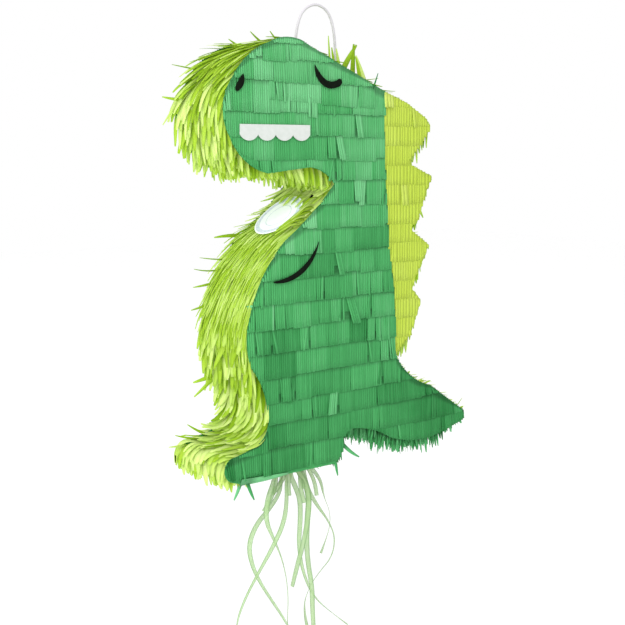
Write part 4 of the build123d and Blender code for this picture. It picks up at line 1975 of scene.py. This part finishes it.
LOOSE_STRIPS = (
    LooseStrip("muzzle", (-136, 41, -97), (-26.5, 0, 2.5), 3.6, 0.6, Shade.LIME, 0.5),
    LooseStrip("muzzle_high", (-122, 41, -65.4), (-28.5, 0, 3), 1.6, 0.0, Shade.LIME, 0.2),
    LooseStrip("muzzle_low", (-146.3, 41, -91.8), (-16, 0, -31), 2.8, -0.6, Shade.LIME, 0.85),
    LooseStrip("crown_one", (-62, 0, -43), (-21, 0, 14), 3.0, 1.0, Shade.LIME, 0.15),
    LooseStrip("crown_two", (-38, 0, -40), (-21, 0, 13), 3.2, 1.0, Shade.LIME, 0.15),
    LooseStrip("crown_three", (-88, 0, -47), (-21, 0, 9), 3.0, 1.0, Shade.LIME, 0.2),
    LooseStrip("crown_four", (-80, -24, -46), (-14, -8, -2), 4.2, 0.6, Shade.LIME, 0.9),
    LooseStrip("belly", (-102.7, 41, -385.5), (-29.3, 0, -5.4), 5.4, 0.6, Shade.LIME, 0.5),
    LooseStrip("belly_fork", (-108.9, 41, -388.6), (-22, 0, -17.8), 4.6, 0.4, Shade.LIME, 0.55),
    LooseStrip("chest_top", (-75.5, 41, -229), (-28, 0, -10), 4.2, -1.0, Shade.LIME, 0.3),
    LooseStrip("chest_thin", (-95.5, 41, -258.7), (-26, 0, 0), 1.5, 0.6, Shade.LIME, 0.2),
    LooseStrip("chest_wavy", (-102.4, 41, -271), (-26, 0, 1), 1.7, 1.6, Shade.LIME, 0.1),
    LooseStrip("chest_low", (-108, 41, -285), (-22, 0, -4.5), 2.8, 0.4, Shade.LIME, 0.3),
    LooseStrip("belly_high", (-112, 41, -309), (-21, 0, -4.5), 2.8, 0.4, Shade.LIME, 0.3),
    LooseStrip("toe_top", (-117.2, 41, -446.4), (-22.7, 0, 11.4), 3.0, 1.0, Shade.LIME, 0.35),
    LooseStrip("toe_back", (-128.6, 41, -450.8), (-26.3, 0, 6.1), 2.6, 0.6, Shade.LIME, 0.4),
    LooseStrip("toe_tip", (-143.7, 41, -454.2), (-19, 0, -2.1), 2.6, 0.4, Shade.LIME, 0.8),
    # small black card marks at the toe tip and on the chest
    LooseStrip("toe_dark_mark", (-153.5, 43, -467), (0.4, 0, -8), 2.6, 0.0, None, 0.0, (-1, 0, 0)),
    LooseStrip("chest_dash", (-25.5, -28.8, -193.7), (-10, 0, -9), 2.6, 0.4, None, 0.0,
               (-0.7, -0.5, 0.5)),
    LooseStrip("toe_sole_left", (-125, -40, -481), (-10, -1, -17), 4.2, 1.0, Shade.GREEN, 0.85),
    LooseStrip("toe_sole_right", (-119, -41, -482), (8, -1, -20), 4.4, 1.0, Shade.GREEN, 0.45),
    LooseStrip("heel_down", (-5, -41, -474), (3, -1, -22), 4.4, 1.0, Shade.GREEN, 0.45),
    LooseStrip("instep", (10, -41, -461), (18, -1, -19), 4.6, 2.0, Shade.GREEN, 0.6),
    LooseStrip("crown_up", (12.4, -14, -58), (-6.7, 0, 29), 3.0, 0.5, Shade.LIME, 0.6),
    LooseStrip("tuft_upright", (40, -14, -74), (-0.5, 0, 38), 7.0, -1.0, Shade.LIME, 0.15),
    LooseStrip("tuft_left", (25, -14, -60), (18.5, 0, 23), 7.0, -1.5, Shade.LIME, 0.3),
    LooseStrip("tuft_right", (64, -12, -82), (-20.5, 0, 34), 9.5, -1.0, Shade.LIME, 0.95),
    LooseStrip("tuft_inner", (52, -16, -80), (-11, 0, 30), 6.0, -1.0, Shade.LIME, 0.4),
    LooseStrip("tuft_low", (27, -14, -61), (-11, 0, 19), 5.0, -1.0, Shade.LIME, 0.8),
    LooseStrip("tuft_far", (20, -14, -58), (-10, 0, 17), 4.4, -0.6, Shade.LIME, 0.35),
    LooseStrip("crown_dark", (43, -43, -84), (6, -1, 17), 2.0, 0.4, Shade.GREEN, 0.1),
    LooseStrip("teal_scrap", (-119.5, -33, -303), (9, -10, 2), 5.0, 0.4, Shade.GREEN, 0.8,
               (-1.0, -0.5, 0.0)),
    LooseStrip("curled_sheet", (-129, -42, -485), (60, -0.5, 5), 10.5, 1.0, Shade.GREEN, 0.95,
               (0.0, -0.8, -0.6)),
)  # fmt: skip


@dataclass
class LooseStrips:
    """The strips that have come away from the rows."""

    @staticmethod
    def root(strip: LooseStrip, outline: Outline) -> tuple[np.ndarray, np.ndarray]:
        """Finds where a strip leaves the body, and its run from there.

        Args:
            strip: the strip.
            outline: the body's outer line.

        Returns:
            The start, just inside the line, and the run to the strip's end.
        """
        start, run = np.array(strip.start) * MM, np.array(strip.run) * MM
        point, outward = outline.at(np.array(outline.nearest(start[0], start[2])))
        off = (start[[0, 2]] - point) @ outward
        if strip.shade is None or off < -0.001:
            return start, run
        held = np.array([point[0] - outward[0] * 0.001, start[1], point[1] - outward[1] * 0.001])
        return held, start + run - held

    def build(self, snip: Snip, outline: Outline, finishes: Finishes) -> None:
        """Makes one piece for each shade.

        Args:
            snip: the snip that each strip is a copy of.
            outline: the body's outer line.
            finishes: the materials.
        """
        along = np.linspace(0, 1, snip.steps + 1)
        for shade in (Shade.LIME, Shade.GREEN, None):
            strands = Strands(snip, thickness=0.00022)
            for strip in LOOSE_STRIPS:
                if strip.shade is not shade:
                    continue
                start, run = self.root(strip, outline)
                middle = start + run * along[:, None]
                middle[:, 2] -= strip.sag * MM * np.sin(along * math.pi * 0.9)
                facing = np.tile(np.array(strip.facing), (len(along), 1))
                strands.add(middle, facing, strip.width / 2 * MM, strip.tone, 0.3)
            word = shade.name.lower() if shade else "black"
            material = finishes.paper(shade) if shade else finishes.black
            piece = strands.build(f"loose_{word}", material)
            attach(piece, "shell")


# ------------------------------------------------------------------ body
@dataclass
class Body:
    """The flat faces, the strip round them, and the card parts that stay from the CAD."""

    finishes: Finishes
    outline: Outline
    face_snip: Snip
    strand_snip: Snip
    face_base: float = 0.0427

    def papers(self, side: Side) -> tuple[tuple[float, float, float, float], ...]:
        """Reads where the papers pasted on a face are.

        Args:
            side: the face.

        Returns:
            The lowest and highest X and Z of each.
        """
        boxes = []
        for part in ("eye", "nostril", "teeth", "arm_line"):
            low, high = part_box(f"{side.name.lower()}_{part}")
            boxes.append((low.x, low.z, high.x, high.z))
        return tuple(boxes)

    def faces(self) -> None:
        """Makes the green and lime faces, front and back."""
        flap_low, flap_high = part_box("fill_flap")
        opening = (flap_low.x - 0.0003, flap_low.z - 0.0003, flap_high.x + 0.0003, -0.2402)
        for side in Side:
            word = side.name.lower()
            green = FaceSheet(
                "body", side, Shade.GREEN, self.outline.body, BODY_ROWS, self.face_base,
                11 if side is Side.FRONT else 12,
                window=opening if side is Side.BACK else None, kept_low=self.papers(side),
            )  # fmt: skip
            crest = FaceSheet(
                "crest", side, Shade.CREST, self.outline.crest, CREST_ROWS, self.face_base,
                21 if side is Side.FRONT else 22, snip_width=(2.6, 5.2), torn_share=0.02,
                lift=(0.15, 0.35), tone_spread=0.05, snip_spread=0.008, bow=0.0,
                drop_spread=0.3,
            )  # fmt: skip
            for sheet in (green, crest):
                strands, corners = sheet.fringe(self.face_snip, self.outline)
                material = self.finishes.paper(sheet.shade)
                piece = strands.build(f"{word}_{sheet.name}_rows", material, corners)
                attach(piece, "shell")
                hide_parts(f"{word}_{sheet.name}_fringe")
                under = sheet.under_paper(f"{word}_{sheet.name}_paper", material)
                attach(under, "shell")

    def flap(self) -> None:
        """Makes the fringe on the filling flap."""
        low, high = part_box("flap_fringe")
        corners = np.array(
            [(low.x, low.z), (high.x, low.z), (high.x, high.z), (low.x, high.z)], float
        )
        sheet = FaceSheet(
            "flap", Side.BACK, Shade.GREEN, corners, BODY_ROWS, self.face_base, 31, torn_share=0.0
        )
        strands, placed = sheet.fringe(self.face_snip, self.outline)
        placed[..., 0] = np.clip(placed[..., 0], low.x, high.x)
        placed[..., 2] = np.clip(placed[..., 2], low.z, high.z)
        piece = strands.build("flap_rows", self.finishes.green, placed)
        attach(piece, "fill_flap")
        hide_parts("flap_fringe")

    def card_parts(self) -> None:
        """Gives the CAD parts that stay their finishes."""
        dress = {
            "wall": self.finishes.board,
            "panel": self.finishes.board,
            "trap_door": self.finishes.board,
            "fill_flap": self.finishes.board,
            "hanger_plate": self.finishes.board,
            "door_stops": self.finishes.board,
            "tape": self.finishes.tape,
            "eye": self.finishes.black,
            "nostril": self.finishes.black,
            "arm_line": self.finishes.black,
            "teeth": self.finishes.white,
            "cord_knots": self.finishes.cord,
            "ribbon_ties": self.finishes.ribbon,
        }
        for name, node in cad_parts.items():
            for word, material in dress.items():
                if name.endswith(word):
                    node.data.materials.clear()
                    node.data.materials.append(material)

    def build(self) -> None:
        """Makes the whole body."""
        self.card_parts()
        self.faces()
        self.flap()
        band = EdgeBand(self.outline, self.strand_snip, self.finishes)
        band.build()
        ChestLabel().cover(band)


# ------------------------------------------------------------------ studio
@dataclass
class Studio:
    """A white room: a pale floor, an even sky, soft lights and the camera."""

    eye: tuple[float, float, float] = (-0.7135, -0.9414, -0.1484)
    look: tuple[float, float, float] = (0.5954, 0.7901, -0.1461)
    lens: float = 62.96
    floor_z: float = -0.92
    key_power: float = 21.0
    fill_power: float = 20.0

    def light(
        self, name: str, place: tuple[float, float, float], power: float, size: float
    ) -> None:
        """Hangs one soft square light that faces the middle of the body.

        Args:
            name: its name.
            place: where it is.
            power: its power in watts.
            size: the length of its side.
        """
        data = bpy.data.lights.new(name, "AREA")
        data.energy = power
        data.shape = "SQUARE"
        data.size = size
        lamp = place_new(name, data)
        lamp.location = place
        aim = Vector((0.0, 0.0, -0.25)) - Vector(place)
        lamp.rotation_euler = aim.to_track_quat("-Z", "Y").to_euler()

    def build(self) -> None:
        """Sets the room, the lights and the camera."""
        world = bpy.data.worlds.new("white room")
        world.use_nodes = True
        world.node_tree.nodes["Background"].inputs[0].default_value = (1, 1, 1, 1)
        world.node_tree.nodes["Background"].inputs[1].default_value = 1.0
        bpy.context.scene.world = world
        bpy.context.scene.view_settings.view_transform = "Standard"
        self.light("key", (-1.1, -1.5, 1.3), self.key_power, 0.9)
        self.light("fill", (-1.7, -0.3, -0.3), self.fill_power, 1.4)
        deselect()
        bpy.ops.mesh.primitive_plane_add(size=14, location=(0, 0, self.floor_z))
        floor = bpy.context.object
        floor.name = "studio_floor"
        paper = CardFinish(
            "floor paper", (255, 255, 255), (254, 254, 254), roughness=0.95, bump=0.01
        )
        floor.data.materials.append(paper.build())
        camera = bpy.data.cameras.new("camera")
        camera.lens = self.lens
        camera.sensor_width = 36.0
        camera.clip_end = 50.0
        holder = place_new("camera", camera)
        holder.location = self.eye
        holder.rotation_euler = Vector(self.look).to_track_quat("-Z", "Y").to_euler()
        bpy.context.scene.camera = holder


def main() -> None:
    """Builds the pinata and the room it hangs in."""
    logging.basicConfig(level=logging.INFO, format="%(message)s")
    Studio().build()
    finishes = mix_finishes()
    HangingLoop().build(finishes)
    PullRibbons().build(finishes)
    outline = Outline()
    face_snip = Snip(columns=1, steps=4, tip_share=0.96)
    strand_snip = Snip(columns=2, steps=6, tip_share=0.3)
    Body(finishes, outline, face_snip, strand_snip).build()
    ChestLabel().build(outline, finishes)
    DoorFringe().build(strand_snip, finishes)
    LooseStrips().build(strand_snip, outline, finishes)


if __name__ == "__main__":
    main()
